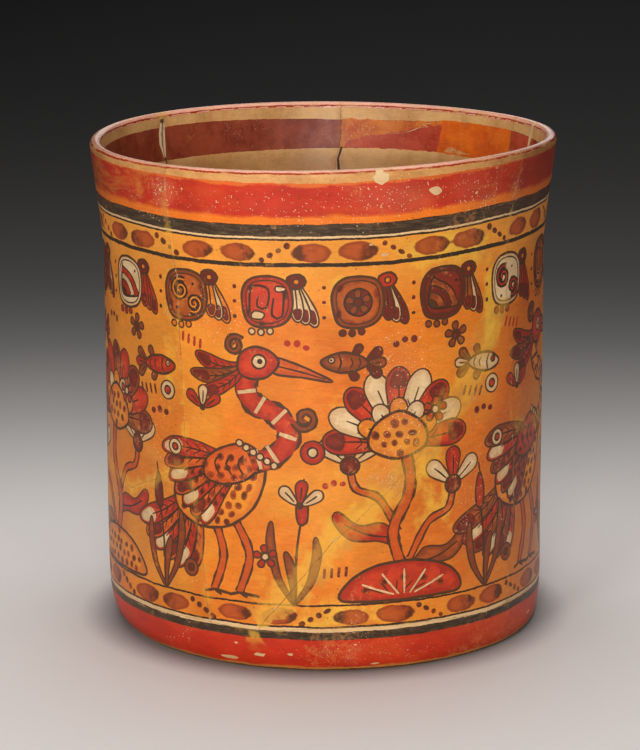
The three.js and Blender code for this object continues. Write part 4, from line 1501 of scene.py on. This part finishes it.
def band_heights(turn, u, radius, z, outer):
    """Heights among the painted bands, which waver with the brush and count on over the lip's round edge"""
    band = z - wobble(u, z) * np.clip((lip_start - z) / 12, 0, 1)
    band -= red_rise * np.sin(turn) ** 2 * np.interp(z, (158, 164, 166.9, lip_start), (0, 1, 1, 0))
    rounding = np.arctan2(z - lip_start, radius - (rim_radius - lip_round))
    band = np.where(z > lip_start, lip_start + lip_round * np.clip(rounding, 0, pi), band)
    return np.where(outer, band, z)


def join_values(turn, z):
    """The distance of each point to the nearest join, and how much it is repainted"""
    join, repaint = np.zeros(len(z)), np.zeros(len(z))
    for i in range(len(z)):
        _, found, distance = joins.find(on_cylinder(turn[i], z[i]))
        join[i] = min(distance, far_from_joins)
        number = join_places[found][0]
        repaint[i] = repaint_strengths[number] * max(0, 1 - distance / repaint_widths[number])
    return join, repaint


def spot_values(u, z, outer):
    """How far out of the nearest soft spot each point is, 1 at its rim, and how dark the spot is there"""
    spot, spot_end = np.full(len(z), spot_reach), np.zeros(len(z))
    for su, sv, long, wide, slant, end in soft_spots:
        du, dv = apart(u, su), z - sv
        reach = spot_reach * long + 1
        near = np.nonzero(outer & (np.abs(du) < reach) & (np.abs(dv) < reach))[0]
        du, dv = du[near], dv[near]
        along = (du * cos(slant) + dv * sin(slant)) / long
        aside = (dv * cos(slant) - du * sin(slant)) / wide
        out = np.hypot(along, aside)
        if end == dark_middle:
            dark = 1.15 - out * 1.1
        elif long > small_spot:
            dark = along * end * 0.85 + 0.1
        else:
            dark = np.full(len(out), end)
        closer = out < spot[near]
        spot[near[closer]] = out[closer]
        spot_end[near[closer]] = dark[closer]
    return spot, spot_end


def give_values(mesh, name):
    """Stores on the mesh of a piece what its materials read"""
    turn, radius, z = off_body(points_of(mesh))
    u = turn * wall_radius
    outer = radius > wall_radius - outer_depth
    values = {"band": band_heights(turn, u, radius, z, outer), "level": z, "depth": depths(u, z, outer),
              "tone": np.full(len(z), sherd_tone_and_shade.get(name, 1.0))}
    values["join"], values["repaint"] = join_values(turn, z)
    values["spot"], values["spot_end"] = spot_values(u, z, outer)
    for key, places in patches.items():
        values[key] = np.zeros(len(z))
        for middle, v, wide, tall, most in places:
            away = (apart(u, middle) / wide) ** 2 + ((z - v) / tall) ** 2
            values[key] = np.maximum(values[key], most * np.exp(-0.7 * away))
    if name in fills:
        heights, angles, widths = zip(*sorted((z0, a, w) for a, z0, w in fills[name]))
        middle = np.radians((np.interp(z, heights, angles) + 180) % 360 - 180) * wall_radius
        values["aside"] = (u - middle) / np.interp(z, heights, widths) * 2  # 1 and -1 at the fill's sides
    for key, value in values.items():
        mesh.attributes.new(key, "FLOAT", "POINT").data.foreach_set("value", value.astype(np.float32))


for name, (points, faces, kinds) in pieces.items():
    piece = object_from("painted_" + name, points, faces, kinds)
    mesh = piece.data
    give_values(mesh, name)
    mesh.polygons.foreach_set("use_smooth", [True] * len(mesh.polygons))
    mesh.set_sharp_from_angle(angle=radians(sharp_angle))
    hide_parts(name)
    "restorer_fill" if name in fills else "painted_clay"
    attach(piece, "root")


# Stage, light and camera


floor_place, floor_radius, floor_corners = (0, -0.62, -0.0002), 4.0, 64
floor_reach = 2.6  # from the floor's middle to where it is darkest
# How pale the floor is at each share of that distance, a painted falloff of light
floor_shades = ((0.0, 0.86), (0.2, 0.88), (0.25, 0.91), (0.275, 0.89), (0.312, 0.71), (0.352, 0.45),
                (0.408, 0.165), (0.48, 0.076), (0.6, 0.045), (0.75, 0.029), (1.0, 0.018))


def stage_material(n):
    """Painted light: pale near the vase and darker with the distance, a painted falloff as on a long table
    lit at one end
    """
    spot = n.node("ShaderNodeTexCoord", output="Object")
    away = n.node("ShaderNodeVectorMath", {0: spot}, "Value", operation="LENGTH")
    stops = [(place, (shade, shade * 0.955, shade * 0.925, 1)) for place, shade in floor_shades]
    colour = n.ramp(away / floor_reach, stops, "B_SPLINE")
    # painted shadow: the floor is drawn a little darker close round the foot
    axis = (0, -floor_place[1], 0)
    beside = n.node("ShaderNodeVectorMath", {0: spot, 1: axis}, "Value", operation="DISTANCE")
    shade = n.ease(beside, 0.072, 0.089, 0.4, 1) * n.ease(beside, 0.08, 0.105, 0.94, 1)
    shade = n.node("ShaderNodeCombineColor", {0: shade, 1: shade, 2: shade})
    colour = n.mix(1, colour, shade, "MULTIPLY")
    n.surface({"Base Color": colour, "Roughness": 0.9, "Specular IOR Level": 0.1})


floor_mesh = bpy.data.meshes.new("floor")
floor_points = [(floor_radius * cos(a), floor_radius * sin(a), 0) for a in around(floor_corners)]
floor_mesh.from_pydata(floor_points, [], [tuple(range(floor_corners))])
floor_mesh.materials.append(material("pale_floor", stage_material))
floor_piece = bpy.data.objects.new("floor", floor_mesh)
floor_piece.location = floor_place
bpy.context.scene.collection.objects.link(floor_piece)

vase_middle = (0, 0, 0.09)
white, warm_white = (1, 1, 1), (1, 0.985, 0.96)


def softbox(name, place, wide, tall, watts, colour):
    """A lamp that faces the middle of the vase"""
    lamp = bpy.data.lights.new(name, "AREA")
    lamp.shape, lamp.size, lamp.size_y, lamp.energy, lamp.color = "RECTANGLE", wide, tall, watts, colour
    made = bpy.data.objects.new(name, lamp)
    made.location = place
    made.rotation_euler = (Vector(vase_middle) - Vector(place)).to_track_quat("-Z", "Y").to_euler()
    bpy.context.scene.collection.objects.link(made)


softbox("top_light", (0, 0.15, 1.3), 1.2, 1.2, 10.0, white)
softbox("front_light", (-0.05, -1.45, 0.48), 0.4, 0.35, 9.8, warm_white)
softbox("left_light", (-0.65, -1.28, 0.38), 0.32, 0.6, 6.2, warm_white)
softbox("back_light", (0.3, 2.5, 0.9), 1.2, 0.9, 4.0, white)

# A dim even light all round, and nearly black where the camera sees past the floor
even_light, past_floor = grey(0.02), (0.012, 0.0115, 0.01, 1)
world = bpy.context.scene.world or bpy.data.worlds.new("world")
bpy.context.scene.world = world
n = Nodes(world)
seen = n.node("ShaderNodeLightPath", output="Is Camera Ray")
sky = n.mix(seen, even_light, past_floor)
background = n.node("ShaderNodeBackground", {"Color": sky, "Strength": 1.0})
n.node("ShaderNodeOutputWorld", {"Surface": background}, output=None)

# The camera, which looks down on the vase, with its roll and its place to the side as in the photograph
lens, sensor_width = 151.3, 36.0
camera_place, look_down, roll = (-0.00143, -1.073, 0.3344), 13.12, -0.29
camera = bpy.data.objects.new("camera", bpy.data.cameras.new("camera"))
camera.data.lens, camera.data.sensor_width = lens, sensor_width
camera.data.clip_start, camera.data.clip_end = 0.05, 20
camera.location = camera_place
tilted = Euler((radians(90 - look_down), 0, 0)).to_matrix()
camera.rotation_euler = (tilted @ Euler((0, 0, radians(roll))).to_matrix()).to_euler()
bpy.context.scene.collection.objects.link(camera)
bpy.context.scene.camera = camera
bpy.context.scene.view_settings.view_transform = "Standard"
